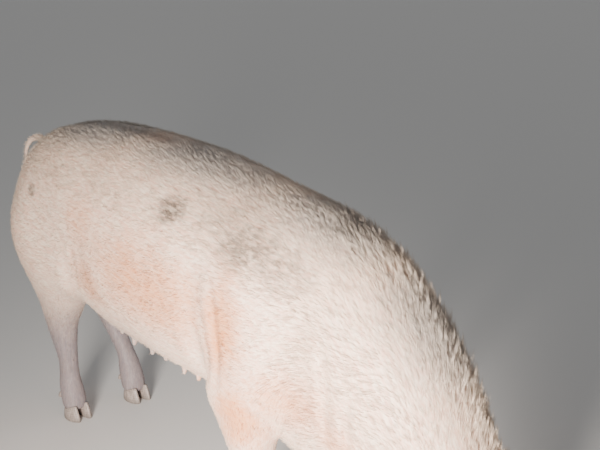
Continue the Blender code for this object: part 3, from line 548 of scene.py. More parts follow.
# A leg on the left: y is beyond the foot's own side, up and down are fore and aft
HIND_LEG = (
    Section(-0.5, 0.69, 0.06, 0.1, 0.1, y=0.01),
    Section(-0.505, 0.62, 0.08, 0.15, 0.15, y=0.022),
    Section(-0.505, 0.54, 0.088, 0.172, 0.172, y=0.026),
    Section(-0.5, 0.465, 0.082, 0.152, 0.16, y=0.026),
    Section(-0.506, 0.4, 0.067, 0.108, 0.13, y=0.02),
    Section(-0.52, 0.34, 0.052, 0.072, 0.09, y=0.014),
    Section(-0.54, 0.285, 0.041, 0.05, 0.066, y=0.008),
    Section(-0.548, 0.235, 0.035, 0.04, 0.05, y=0.004),
    Section(-0.545, 0.17, 0.028, 0.031, 0.034, y=0.001),
    Section(-0.546, 0.12, 0.028, 0.031, 0.034, y=0.0),
    Section(-0.544, 0.088, 0.033, 0.036, 0.038, y=0.0),
    Section(-0.538, 0.056, 0.035, 0.038, 0.036, y=0.0),
    Section(-0.532, 0.02, 0.036, 0.032, 0.038, y=0.0),
)

FORE_LEG = (
    Section(0.35, 0.66, 0.05, 0.07, 0.08, y=-0.035),
    Section(0.346, 0.59, 0.066, 0.098, 0.105, y=-0.02),
    Section(0.336, 0.51, 0.076, 0.114, 0.124, y=-0.004),
    Section(0.318, 0.435, 0.077, 0.108, 0.124, y=0.006),
    Section(0.304, 0.37, 0.072, 0.094, 0.114, y=0.008),
    Section(0.3, 0.31, 0.062, 0.074, 0.086, y=0.006),
    Section(0.302, 0.255, 0.051, 0.058, 0.062, y=0.005),
    Section(0.306, 0.205, 0.042, 0.047, 0.045, y=0.003),
    Section(0.306, 0.16, 0.033, 0.035, 0.035, y=0.001),
    Section(0.306, 0.118, 0.031, 0.033, 0.035, y=0.0),
    Section(0.311, 0.088, 0.035, 0.038, 0.039, y=0.0),
    Section(0.32, 0.056, 0.037, 0.039, 0.037, y=0.0),
    Section(0.327, 0.02, 0.038, 0.033, 0.039, y=0.0),
)

BODY_FORMS = (
    Swelling("shoulder", (0.33, 0.18, 0.6), (0.085, 0.08, 0.15), 0.012),
    Swelling("behind the shoulder", (0.175, 0.2, 0.56), (0.045, 0.09, 0.15), -0.009),
    Swelling("flank", (-0.29, 0.19, 0.52), (0.08, 0.08, 0.11), -0.009),
    Swelling("ham", (-0.55, 0.17, 0.58), (0.11, 0.08, 0.13), 0.008),
    Swelling("hip bone", (-0.41, 0.11, 0.8), (0.07, 0.05, 0.05), 0.005),
    Swelling("elbow", (0.215, 0.165, 0.37), (0.04, 0.05, 0.045), 0.01),
    Swelling("stifle", (-0.385, 0.16, 0.44), (0.06, 0.06, 0.07), 0.01),
    Swelling("vulva", (-0.715, 0.0, 0.6), (0.03, 0.022, 0.034), 0.016),
)

BODY_FOLDS = (
    Fold("spine", ((-0.56, 0, 0.8), (-0.1, 0, 0.85), (0.15, 0, 0.83)), 0.022, 0.004),
    Fold("armpit", ((0.165, 0.19, 0.46), (0.175, 0.13, 0.31)), 0.032, 0.009),
    Fold("chest", ((0.44, 0.17, 0.5), (0.4, 0.15, 0.34)), 0.04, 0.006),
    Fold("flank fold", ((-0.33, 0.19, 0.5), (-0.365, 0.13, 0.37)), 0.034, 0.007),
    Fold("behind the elbow",
         ((0.242, 0.205, 0.61), (0.256, 0.2, 0.52), (0.262, 0.19, 0.43), (0.248, 0.16, 0.345)),
         0.013, 0.0046, 0.0014),
    Fold("elbow's second fold", ((0.205, 0.205, 0.56), (0.222, 0.2, 0.48), (0.215, 0.18, 0.4)),
         0.011, 0.0022, 0.0008),
    Fold("over the foreleg",
         ((0.372, 0.19, 0.395), (0.415, 0.188, 0.372), (0.462, 0.17, 0.372), (0.5, 0.14, 0.39)),
         0.009, 0.0046, 0.002),
    Fold("neck's first fold",
         ((0.505, 0.12, 0.6), (0.53, 0.155, 0.5), (0.528, 0.15, 0.4), (0.515, 0.11, 0.31)),
         0.012, 0.0044, 0.0022),
    Fold("neck's second fold", ((0.575, 0.12, 0.53), (0.588, 0.148, 0.44), (0.575, 0.14, 0.34)),
         0.01, 0.0034, 0.0018),
    Fold("throat", ((0.56, 0.1, 0.24), (0.545, 0.04, 0.215), (0.545, 0, 0.212)), 0.01, 0.003, 0.0016),
    Fold("stifle fold", ((-0.3, 0.195, 0.56), (-0.318, 0.188, 0.47), (-0.338, 0.16, 0.395)),
         0.01, 0.0034, 0.0014),
    Fold("hock", ((-0.585, 0.11, 0.268), (-0.56, 0.125, 0.262)), 0.006, 0.0018, 0.001),
    Fold("perineum", ((-0.72, 0, 0.585), (-0.69, 0, 0.5), (-0.64, 0, 0.42)), 0.014, 0.014),
)

# In the head's own frame
HEAD_FORMS = (
    Swelling("brow", (0.104, 0.06, 0.072), (0.036, 0.03, 0.022), 0.005),
    Swelling("eye hollow", (0.146, 0.062, 0.04), (0.026, 0.024, 0.018), -0.005),
    Swelling("cheek", (0.08, 0.105, -0.02), (0.055, 0.04, 0.055), 0.012),
    Swelling("jowl", (0.04, 0.075, -0.13), (0.065, 0.055, 0.05), 0.014),
    Swelling("dished face", (0.185, 0, 0.058), (0.05, 0.035, 0.025), -0.006),
    Swelling("forehead", (0.07, 0, 0.11), (0.05, 0.055, 0.04), 0.006),
    Swelling("upper lip", (0.26, 0.05, -0.034), (0.06, 0.022, 0.013), 0.004),
    Swelling("lower lip", (0.25, 0.045, -0.064), (0.06, 0.022, 0.012), 0.003),
)

HEAD_FOLDS = (
    Fold("behind the jowl", ((-0.01, 0.118, -0.07), (0.004, 0.09, -0.14), (0.01, 0.04, -0.172)),
         0.011, 0.005, 0.002),
    Fold("cheek fold", ((0.06, 0.115, -0.06), (0.085, 0.098, -0.1), (0.105, 0.07, -0.125)),
         0.008, 0.003, 0.0012),
    Fold("mouth fold", ((0.148, 0.09, -0.02), (0.146, 0.09, -0.045), (0.156, 0.08, -0.075)),
         0.006, 0.003, 0.0012),
    Fold("ear base", ((0.052, 0.09, 0.06), (0.06, 0.07, 0.082), (0.056, 0.045, 0.1)),
         0.006, 0.0022, 0.001),
    Fold("brow", ((0.098, 0.036, 0.092), (0.104, 0.018, 0.096), (0.102, 0.006, 0.098)),
         0.005, 0.0014, 0.0008),
)

# On the eye's flat, in radii of the eyeball
LID_FOLDS = (
    Fold("upper lid", ((-1.25, 0.35, 0), (0, 1.02, 0), (1.3, 0.3, 0)), 0.0016, 0.0014, 0.0005),
    Fold("upper brow", ((-1.6, 0.6, 0), (0, 1.55, 0), (1.7, 0.6, 0)), 0.0026, 0.0014, 0.0008),
    Fold("lower lid", ((-1.2, -0.5, 0), (0, -1.02, 0), (1.25, -0.4, 0)), 0.0016, 0.0012, 0.0005),
    Fold("under the lid", ((-1.6, -0.7, 0), (0, -1.5, 0), (1.6, -0.7, 0)), 0.0024, 0.0012, 0.0007),
    Fold("still lower", ((-1.5, -1.3, 0), (0, -2.05, 0), (1.8, -1.1, 0)), 0.003, 0.001, 0.0006),
)

TAIL_LINE = (
    (-0.64, 0.0, 0.69),
    (-0.676, 0.0, 0.714),
    (-0.706, -0.001, 0.733),
    (-0.736, -0.004, 0.735),
    (-0.762, -0.009, 0.72),
    (-0.773, -0.016, 0.694),
    (-0.762, -0.024, 0.668),
    (-0.738, -0.031, 0.66),
    (-0.72, -0.036, 0.672),
)


@dataclass
class Flesh:
    """The whole animal's skin without its ears and claws, before the fine work on the face."""

    ring_points: int = 40
    steps: int = 6
    coarse_voxel: float = 0.008
    fine_voxel: float = 0.0045
    detail_voxel: float = 0.0034
    hind_sides: tuple[float, float] = (0.076, 0.104)  # right, left
    fore_sides: tuple[float, float] = (0.126, 0.126)
    hind_steps: tuple[float, float] = (0.01, 0.035)
    fore_steps: tuple[float, float] = (-0.025, 0.045)
    bent_hocks: tuple[bool, bool] = (False, True)
    hock_heights: tuple[float, float, float, float] = (0.1, 0.24, 0.3, 0.52)
    hock_back: float = 0.058
    hock_in: float = 0.012
    disc_points: int = 48
    disc_half_width: float = 0.055
    disc_half_height: float = 0.043
    disc_thickness: float = 0.016
    teat_pairs: int = 7
    teat_first_x: float = -0.275
    teat_last_x: float = 0.105
    teat_side: float = 0.068
    teat_length: float = 0.024
    teat_radius: float = 0.0102
    teat_points: int = 12
    # Along the teat, in its lengths, and across it, in its radii
    teat_profile: Profile = (
        (0.0, 2.0), (0.35, 1.4), (0.6, 1.0), (0.9, 0.78), (1.15, 0.66), (1.3, 0.38)
    )
    tail_radii: tuple[float, float] = (0.013, 0.004)
    tail_points: int = 14
    tail_root_rings: int = 12
    tail_root_flare: float = 0.006

    def ring(self, row: Array, level: bool) -> Array:
        """Points of one section.

        Args:
            row: The section's numbers.
            level: Whether it lies level, as across a leg, with up and down fore and aft.

        Returns:
            The ring's points.
        """
        x, z, half_width, up, down, pitch, y, square_up, square_down = row
        angles = round_angles(self.ring_points)
        side, rise = np.cos(angles), np.sin(angles)
        square = np.where(rise > 0, square_up, square_down)
        height = np.where(rise > 0, up, down)
        across = half_width * np.sign(side) * np.abs(side) ** (2 / square)
        lift = height * np.sign(rise) * np.abs(rise) ** (2 / square)
        if level:
            return np.stack([x + lift, y + across, np.full_like(lift, z)], axis=1)
        tilt = math.radians(pitch)
        return np.stack([x - lift * math.sin(tilt), y + across, z + lift * math.cos(tilt)], axis=1)

    def loft(self, name: str, sections: Sequence[Section], level: bool = False) -> Piece:
        """A closed skin over the sections."""
        rows = smooth_rows([astuple(s) for s in sections], self.steps)
        return Shaper.tube(name, np.array([self.ring(row, level) for row in rows]))

    def legs(self) -> list[list[Section]]:
        """The sections of the four legs, swung so that each foot stands a step ahead of the hip or shoulder.

        Returns:
            Each leg's sections.
        """
        start, full, last, end = self.hock_heights
        placed = []
        for sections, outs, steps, bends in (
            (HIND_LEG, self.hind_sides, self.hind_steps, self.bent_hocks),
            (FORE_LEG, self.fore_sides, self.fore_steps, (False, False)),
        ):
            hip = sections[1].z
            for side, out, step, bent in zip(SIDES.values(), outs, steps, bends):
                leg = []
                for s in sections:
                    swing = step * min(1.0, max(0.0, (hip - s.z) / hip))
                    bend = float(bent * ramp(s.z, start, full) * (1 - ramp(s.z, last, end)))
                    x = s.x + swing - self.hock_back * bend
                    leg.append(Section(x, s.z, s.half_width, s.up, s.down, y=side * (out + s.y - self.hock_in * bend)))
                placed.append(leg)
        return placed

    def head_sections(self) -> list[Section]:
        """The head's sections, carried into the body's frame to follow the neck's.

        Returns:
            The sections.
        """
        frame = Matrix.Translation((MID_LENGTH, 0, 0)) @ head_frame()
        placed = []
        for s in HEAD:
            at = frame @ Vector((s.x, 0, s.z))
            placed.append(Section(at.x, at.z, s.half_width, s.up, s.down, HEAD_PITCH, square_up=2.3))
        return placed

    def disc(self) -> Piece:
        """The flat, rounded plate at the end of the snout.

        Returns:
            The plate.
        """
        frame = Matrix.Translation((MID_LENGTH, 0, 0)) @ disc_frame()
        angles = round_angles(self.disc_points)
        rings = []
        for depth, scale in ((-1.6, 0.84), (-0.5, 0.97), (-0.1, 1.0), (0.3, 0.97), (0.5, 0.88), (0.46, 0.45)):
            wide, high = (
                half * scale * np.sign(wave) * np.abs(wave) ** 0.85
                for half, wave in ((self.disc_half_width, np.cos(angles)), (self.disc_half_height, np.sin(angles)))
            )
            flat = np.stack([wide, high, np.full_like(wide, depth * self.disc_thickness)], axis=1)
            rings.append(carried(flat, frame))
        return Shaper.tube("disc", np.array(rings))

    def tail(self) -> Piece:
        """The tail: up and back from the rump, then over and down in one curl to the right.

        Returns:
            The tail.
        """
        path = smooth_rows(TAIL_LINE, 8)
        tangents = np.gradient(path, axis=0)
        angles = round_angles(self.tail_points)
        rings = []
        for index, (point, way) in enumerate(zip(path, tangents)):
            share = index / (len(path) - 1)
            radius = self.tail_radii[0] + (self.tail_radii[1] - self.tail_radii[0]) * share
            if index < self.tail_root_rings:
                radius += self.tail_root_flare * (1 - index / self.tail_root_rings) ** 2
            rings.append(carried(oval(angles, radius, radius, 0.0), frame_along(point, way, (0, 1, 0.2))))
        return Shaper.tube("tail", np.array(rings))

    def teats(self, skin: Skin) -> list[Piece]:
        """Two rows of small, pointed teats, set on the belly where it faces down.

        Args:
            skin: The skin that they stand on.

        Returns:
            The teats.
        """
        tree = skin.tree()
        step = (self.teat_last_x - self.teat_first_x) / (self.teat_pairs - 1)
        angles = round_angles(self.teat_points)
        pieces = []
        for index in range(self.teat_pairs):
            for side in SIDES.values():
                x = self.teat_first_x + index * step + 0.01 * side * (index % 2)
                point, normal, _, _ = tree.ray_cast(Vector((x, side * self.teat_side, 0)), Vector((0, 0, 1)))
                axis = (normal + Vector((0.1, 0, -0.6))).normalized()
                frame = frame_along(point - axis * 0.006, axis, (1, 0, 0))
                length = self.teat_length * (0.85 + 0.12 * ((index * 5) % 3))
                rings = []
                for along, scale in self.teat_profile:
                    radius = self.teat_radius * scale
                    rings.append(carried(oval(angles, radius, radius, along * length), frame))
                pieces.append(Shaper.tube("teat", np.array(rings)))
        return pieces

    def join_weight(self, points: Array) -> Array:
        """How strongly the skin is smoothed: full where legs, neck and trunk meet, little on lower legs and face.

        Args:
            points: The skin's points.

        Returns:
            A weight from 0 to 1 for each.
        """
        above_legs = ramp(points[:, 2], 0.3, 0.44)
        behind_face = 1 - ramp(points[:, 0], 0.6, 0.72)
        return 0.04 + 0.5 * above_legs * behind_face

    def build(self, ear_roots: Sequence[Piece]) -> Skin:
        """Fuses the lofts, the tail, the teats and the snout's end into one skin.

        Args:
            ear_roots: Closed pieces, in the part's frame, that the ears grow out of.

        Returns:
            The skin, in the part's frame.
        """
        pieces = [self.loft("trunk", TRUNK), self.loft("neck", [*NECK, *self.head_sections()])]
        pieces += [self.loft("leg", leg, level=True) for leg in self.legs()]
        body = Shaper.join("hide", pieces)
        Shaper.fuse(body, self.coarse_voxel)
        skin = Skin(body)
        skin.relax(self.join_weight(skin.points), 90)
        Shaper.fuse(body, self.fine_voxel)
        skin = Skin(body)
        skin.relax(np.full(len(skin.points), 0.5), 10)
        details = [self.disc(), self.tail(), *self.teats(skin)]
        for root in ear_roots:
            root.data.transform(Matrix.Translation((MID_LENGTH, 0, 0)))
        body = Shaper.join("hide", [body, *details, *ear_roots])
        Shaper.fuse(body, self.detail_voxel)
        skin = Skin(body)
        skin.relax(np.full(len(skin.points), 0.5), 3)
        skin.swell(BODY_FORMS, Matrix())
        skin.crease(BODY_FOLDS, Matrix())
        body.data.transform(Matrix.Translation((-MID_LENGTH, 0, 0)))
        skin = Skin(body)
        skin.swell(HEAD_FORMS, head_frame())
        return skin


@dataclass
class Eye:
    """An eyeball in its lids."""

    node: str
    side: int
    lid_thickness: float = 0.0026
    opening: tuple[float, float] = (0.0118, 0.0066)  # half its length, and half its height
    corner_depth: float = 0.0052
    rim_height: float = 0.0009
    iris_angle: float = 40.0
    frame: Matrix = field(default_factory=Matrix)
    radius: float = 0.012

    def place(self, skin: Skin) -> None:
        """Sets the eye where the part's is, looking out square to the face.

        Args:
            skin: The skin of the head.
        """
        low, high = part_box(self.node)
        centre = (low + high) / 2
        self.radius = (high - low).length / 2 / math.sqrt(3)
        turn = head_frame().to_3x3()
        _, normal, _, _ = skin.tree().find_nearest(centre)
        outward = (normal + 0.25 * (turn @ Vector((0.4, self.side * 0.6, 0.3)))).normalized()
        self.frame = frame_along(centre, outward, turn @ Vector((0.25, 0, 1)))

    def shape_lids(self, skin: Skin) -> None:
        """Raises the lids round the eyeball and sinks an almond opening between them.

        Args:
            skin: The skin.
        """
        local = skin.local(self.frame)
        x, y, z = local.T
        near = (np.linalg.norm(local, axis=1) < 0.04) & (z > -0.01)
        ball = self.radius + self.lid_thickness
        spread = np.sqrt((x / 1.45) ** 2 + (y / 1.12) ** 2)
        dome = np.sqrt(np.clip(ball**2 - spread**2, 0, None))
        gain = np.clip(dome - z, 0, None) * (1 - ramp(spread, 0.8 * ball, 1.02 * ball))
        length, height = self.opening
        lid_height = height * np.where(y > 0, 1.12, 0.85)
        edge = np.clip(1 - (np.abs(x) / length) ** 1.9, 0.02, None) ** 0.75
        inside = np.sqrt((y / (lid_height * edge)) ** 2 + (np.abs(x) / length) ** 6)
        rim = bell(inside, 1.25, 0.22) * self.rim_height
        back = np.sqrt(np.clip(self.radius**2 - x**2 - y**2, 0, None)) - 0.003
        sink = (1 - ramp(inside, 0.82, 1.08)) * (np.abs(y) < 0.012) * (np.abs(x) < 1.3 * length)
        raised = z + gain + rim
        floor = np.maximum(back, raised - self.corner_depth)
        moved = raised + sink * (np.minimum(floor, raised) - raised)
        local[near, 2] = moved[near]
        skin.points = np.where(near[:, None], carried(local, self.frame), skin.points)
        skin.write()
        self.fold_lids(skin)

    def fold_lids(self, skin: Skin) -> None:
        """Wrinkles that follow the lids above and below, and fan out from their corners.

        Args:
            skin: The skin.
        """
        local = skin.local(self.frame)
        lift = np.zeros(len(local))
        close = np.linalg.norm(local, axis=1) < 0.05
        for fold in LID_FOLDS:
            gap = distance_to_line(local[close] * [1, 1, 0], smooth_rows(np.array(fold.points) * self.radius, 6))
            lift[close] = fold.pressed(lift[close], gap)
        skin.lift(lift)

    def build(self) -> Piece:
        """The eyeball, with how far each point lies off its middle kept for the iris and the pupil.

        Returns:
            The eyeball.
        """
        mesh = bmesh.new()
        bmesh.ops.create_uvsphere(mesh, u_segments=48, v_segments=32, radius=1.0)
        cosine = math.cos(math.radians(self.iris_angle))
        off_axis = mesh.verts.layers.float.new("off_axis")
        across = mesh.verts.layers.float.new("across")
        for vert in mesh.verts:
            bulge = max(0.0, (vert.co.z - cosine) / (1 - cosine))
            vert.co = vert.co * self.radius * (1 + 0.045 * bulge**1.5)
            vert[off_axis] = math.degrees(math.atan2(math.hypot(vert.co.x * 0.86, vert.co.y), vert.co.z))
            vert[across] = math.atan2(vert.co.y, vert.co.x)
        mesh.transform(self.frame)
        piece = Shaper.finish("eyeball_" + side_name(self.side), mesh)
        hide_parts(self.node)
        return piece


@dataclass
class Ear:
    """A leaf rolled to a cup at its root, leaning forwards, with its hollow facing out and down."""

    side: int
    length: float = 0.185
    half_width: float = 0.064
    thickness: float = 0.005
    root: Point = (0.024, 0.076, 0.083)
    root_depth: float = 0.014
    rise: Point = (0.56, 0.6, 0.56)
    face: Point = (0.78, 0.5, -0.42)
    columns: int = 29
    rows: int = 41
    leaf_span: tuple[float, float] = (0.02, 0.995)
    waves: float = 0.0022
    root_rows: int = 9
    root_span: tuple[float, float] = (-0.1, 0.17)
    root_thickness: float = 0.016
    root_taper: float = 0.55
    vein_height: float = 0.0006

    def axes(self) -> tuple[Vector, Vector, Vector]:
        """The ways along the ear, out of its hollow and across it, in the head's frame.

        Returns:
            The three ways.
        """
        rise = Vector(on_side(self.rise, self.side)).normalized()
        face = Vector(on_side(self.face, self.side))
        face = (face - face.dot(rise) * rise).normalized()
        return rise, face, rise.cross(face)

    def shell(
        self, thickness: float, span: tuple[float, float], rows: int, waves: float = 0.0, taper: float = 0.0
    ) -> Mesh:
        """A closed leaf between the ear's two faces.

        Args:
            thickness: Its thickness in the middle.
            span: Where it starts and ends along the ear.
            rows: Rows of points.
            waves: Depth of the soft waves of the rim.
            taper: How much thinner it grows over its first length.

        Returns:
            The mesh, in the part's frame.
        """
        rise, face, across = (np.array(v) for v in self.axes())
        v = np.linspace(*span, rows)[:, None]
        s = np.linspace(-1, 1, self.columns)[None, :]
        swell_out = 0.55 + 0.45 * np.sin(np.clip(v / 0.42, 0, 1) * math.pi / 2)
        narrow = np.clip(1 - np.clip((v - 0.42) / 0.58, 0, 1) ** 2.1, 0, 1) ** 0.8
        width = self.half_width * swell_out * narrow + 0.004
        roll = np.radians(112 - 66 * np.clip(v, 0, 1))
        radius = width / roll
        wave = waves * np.sin(9 * v + 1.3 * s) * np.abs(s) ** 3 * ramp(v, 0.1, 0.4)
        thin = (1 - 0.45 * np.abs(s) ** 4) * (1 - taper * ramp(v, -0.02, 0.17))
        angle = roll * s
        spine = rise * (self.length * v - self.root_depth)[..., None] + face * (0.03 * v**2)[..., None]
        faces = []
        for offset in (thickness / 2, -thickness / 2):
            reach = radius + offset * thin * (1 - 0.35 * v) + wave
            side = across * (reach * np.sin(angle))[..., None]
            lift = face * (radius - reach * np.cos(angle))[..., None]
            points = carried((on_side(self.root, self.side) + spine + side + lift).reshape(-1, 3), head_frame())
            faces.append(points.reshape(rows, self.columns, 3))
        mesh = Shaper.grid(np.concatenate([faces[0], faces[1][:, ::-1]], axis=1))
        Shaper.close(mesh)
        return mesh

    @staticmethod
    def rim_at(along: Array) -> Array:
        """How far from the ear's middle its rim lies, along the ear, in half widths."""
        return 0.86 * (1 - ramp(along, 0.42, 1.0)) * (0.62 + 0.38 * ramp(along, 0.0, 0.35))

    def root_piece(self) -> Piece:
        """The thick root of the ear, which is fused with the head."""
        mesh = self.shell(self.root_thickness, self.root_span, self.root_rows, taper=self.root_taper)
        return Shaper.finish("ear_root", mesh)

    def build(self) -> Piece:
        """The ear's leaf, with soft waves along its rim.

        Returns:
            The ear.
        """
        mesh = self.shell(self.thickness, self.leaf_span, self.rows, self.waves)
        bmesh.ops.triangulate(mesh, faces=[f for f in mesh.faces if len(f.verts) > 4])
        name = side_name(self.side)
        piece = Shaper.finish("ear_leaf_" + name, mesh)
        skin = Skin(piece)
        self.veins(skin)
        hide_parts("ear_" + name)
        return piece

    def veins(self, skin: Skin) -> None:
        """Low ridges that fan out from the root over the back of the ear.

        Args:
            skin: The ear's own skin.
        """
        rise, _, across = self.axes()
        local = skin.local(head_frame())
        root = on_side(self.root, self.side)
        along = (local - root) @ np.array(rise) / self.length
        lateral = (local - root) @ np.array(across) / self.half_width
        spread = lateral / (0.35 + 0.9 * np.clip(along, 0.05, 1))
        ridge = np.zeros(len(local))
        for centre in (-0.62, -0.3, 0.05, 0.36, 0.66):
            ridge += bell(spread - centre + 0.05 * np.sin(14 * along + 5 * centre), 0.0, 0.045)
        skin.lift(self.vein_height * ridge * ramp(along, 0.02, 0.2) * (1 - ramp(along, 0.6, 0.95)))


@dataclass
class Face:
    """The fine shapes of the head: lids, lips, nostrils and the folds of the snout."""

    eyes: tuple[Eye, Eye]
    nostril_side: float = 0.019
    nostril_radii: tuple[float, float] = (0.0094, 0.0128)
    nostril_depth: float = 0.019
    nostril_lean: float = 20.0
    nostril_rim: float = 0.0012
    # Where the wrinkles over the muzzle cross its middle, and their depths
    wrinkles: Profile = (
        (0.3105, 0.003), (0.296, 0.0014), (0.282, 0.0016), (0.266, 0.0012), (0.247, 0.001)
    )
    groove_depth: float = 0.0012
    mouth_depth: float = 0.009
    mouth_width: float = 0.0026
    lip_height: float = 0.0022
    mouth_line: Profile = (
        (0.16, -0.032), (0.166, -0.038), (0.182, -0.047), (0.206, -0.052),
        (0.234, -0.051), (0.262, -0.047), (0.29, -0.042),
    )
    mouth_front: tuple[float, float] = (0.322, -0.04)

    def refine(self, skin: Skin) -> None:
        """Divides the mesh where the finest shapes are.

        Args:
            skin: The skin.
        """
        frame = head_frame()
        skin.refine(frame @ Vector((0.285, 0, -0.01)), 0.085)
        skin.refine(disc_frame() @ Vector((0, 0, 0.004)), 0.06)
        for eye in self.eyes:
            skin.refine(eye.frame.translation, 0.044)
            skin.refine(eye.frame.translation, 0.027)

    def mouth_path(self, skin: Skin) -> Array:
        """The line of the mouth on the skin, from one corner round the front to the other, in the head's frame.

        Args:
            skin: The skin.

        Returns:
            The line's points.
        """
        frame = head_frame()
        tree = skin.tree()
        left = []
        for along, height in self.mouth_line:
            origin = frame @ Vector((along, 0.3, height))
            point, _, _, _ = tree.ray_cast(origin, frame.to_3x3() @ Vector((0, -1, 0)))
            left.append((frame.inverted() @ point)[:])
        last = left[-1]
        left.append((0.5 * (last[0] + self.mouth_front[0]) + 0.006, last[1] * 0.7, self.mouth_front[1]))
        middle = (self.mouth_front[0] + 0.004, 0.0, self.mouth_front[1])
        right = [(x, -y, z) for x, y, z in reversed(left)]
        return smooth_rows([*left, middle, *right], 4)

    def cut_mouth(self, skin: Skin) -> None:
        """Presses the line of the mouth into the skin, with a lip on each side of it.

        Args:
            skin: The skin.
        """
        path = self.mouth_path(skin)
        local = skin.local(head_frame())
        close = np.flatnonzero((local[:, 0] > 0.12) & (local[:, 2] < 0.02))
        gap = distance_to_line(local[close], path)
        corner = ramp(local[close, 0], 0.158, 0.185)
        lift = np.zeros(len(local))
        lift[close] -= self.mouth_depth * (0.35 + 0.65 * corner) * bell(gap, 0.0, self.mouth_width)
        lift[close] += self.lip_height * corner * bell(gap, 0.0062, 0.004)
        skin.lift(lift)

    def open_nostrils(self, skin: Skin) -> None:
        """Sinks the nostrils into the end of the snout and rounds their rims.

        Args:
            skin: The skin.
        """
        frame = disc_frame()
        for side in SIDES.values():
            place = Matrix.Translation((side * self.nostril_side, 0.001, 0.0))
            lean = Matrix.Rotation(math.radians(-self.nostril_lean * side), 4, "Z")
            nostril = frame @ place @ lean
            local = skin.local(nostril)
            off = np.sqrt((local[:, 0] / self.nostril_radii[0]) ** 2 + (local[:, 1] / self.nostril_radii[1]) ** 2)
            front = (local[:, 2] > -0.012) & (local[:, 2] < 0.03) & (off < 2.2)
            sink = self.nostril_depth * (1 - ramp(off, 0.45, 1.05))
            rim = self.nostril_rim * bell(off, 1.25, 0.2)
            local[front, 2] += (rim - sink)[front]
            skin.points = np.where(front[:, None], carried(local, nostril), skin.points)
        skin.write()

    def fold_snout(self, skin: Skin) -> None:
        """The step behind the disc, the wrinkles over the muzzle and the groove down the disc.

        Args:
            skin: The skin.
        """
        local = skin.local(head_frame())
        x, y, z = local.T
        lift = np.zeros(len(local))
        upper = ramp(z, -0.035, 0.01)
        for along, depth in self.wrinkles:
            bend = along - 0.9 * y**2 / 0.05 + 0.0016 * np.sin(120 * y + 300 * along)
            lift -= depth * upper * bell(x, bend, 0.0028)
            lift += 0.5 * depth * upper * bell(x - bend, 0.0065, 0.0045)
        disc = skin.local(disc_frame())
        groove = bell(disc[:, 0], 0.0, 0.0022) * ramp(disc[:, 2], -0.004, 0.004) * ramp(-disc[:, 1], -0.01, 0.02)
        lift -= self.groove_depth * groove
        skin.lift(lift)

    def sculpt(self, skin: Skin) -> None:
        """All the fine shapes of the head.

        Args:
            skin: The skin.
        """
        for eye in self.eyes:
            eye.place(skin)
        self.refine(skin)
        skin.crease(HEAD_FOLDS, head_frame())
        self.cut_mouth(skin)
        self.fold_snout(skin)
        self.open_nostrils(skin)
        for eye in self.eyes:
            eye.shape_lids(skin)


@dataclass
class Hide:
    """The finished skin."""

    triangles: int = 192000
    unevenness: float = 0.0011

    def roughen(self, skin: Skin) -> None:
        """Slight unevenness of real flesh, less on the face and the feet.

        Args:
            skin: The skin.
        """
        calm = ramp(skin.points[:, 2], 0.08, 0.3) * (1 - 0.6 * ramp(skin.points[:, 0], 0.52, 0.62))
        bumps = np.array([noise.noise(Vector(p) * 14) + 0.5 * noise.noise(Vector(p) * 31) for p in skin.points])
        skin.lift(self.unevenness * bumps * calm)

    def build(self, face: Face, ears: Sequence[Ear]) -> Piece:
        """The whole skin with its fine shapes.

        Args:
            face: The face, which shapes the head.
            ears: The ears, for their roots.

        Returns:
            The skin.
        """
        skin = Flesh().build([ear.root_piece() for ear in ears])
        LOG.info("flesh: %d points", len(skin.points))
        face_share = ramp(skin.points[:, 0], 0.55, 0.66)
        skin.lift(-COAT_DEPTH * (1 - 0.7 * face_share))
        self.roughen(skin)
        face.sculpt(skin)
        LOG.info("face: %d points", len(skin.points))
        piece = skin.piece
        Shaper.reduce(piece, self.triangles)
        piece.data.shade_smooth()
        piece.name = "hide"
        legs = [f"leg_{end}_{side}" for end in ("fore", "hind") for side in SIDES]
        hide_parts("torso", "neck", "head", "tail", *legs)
        return piece


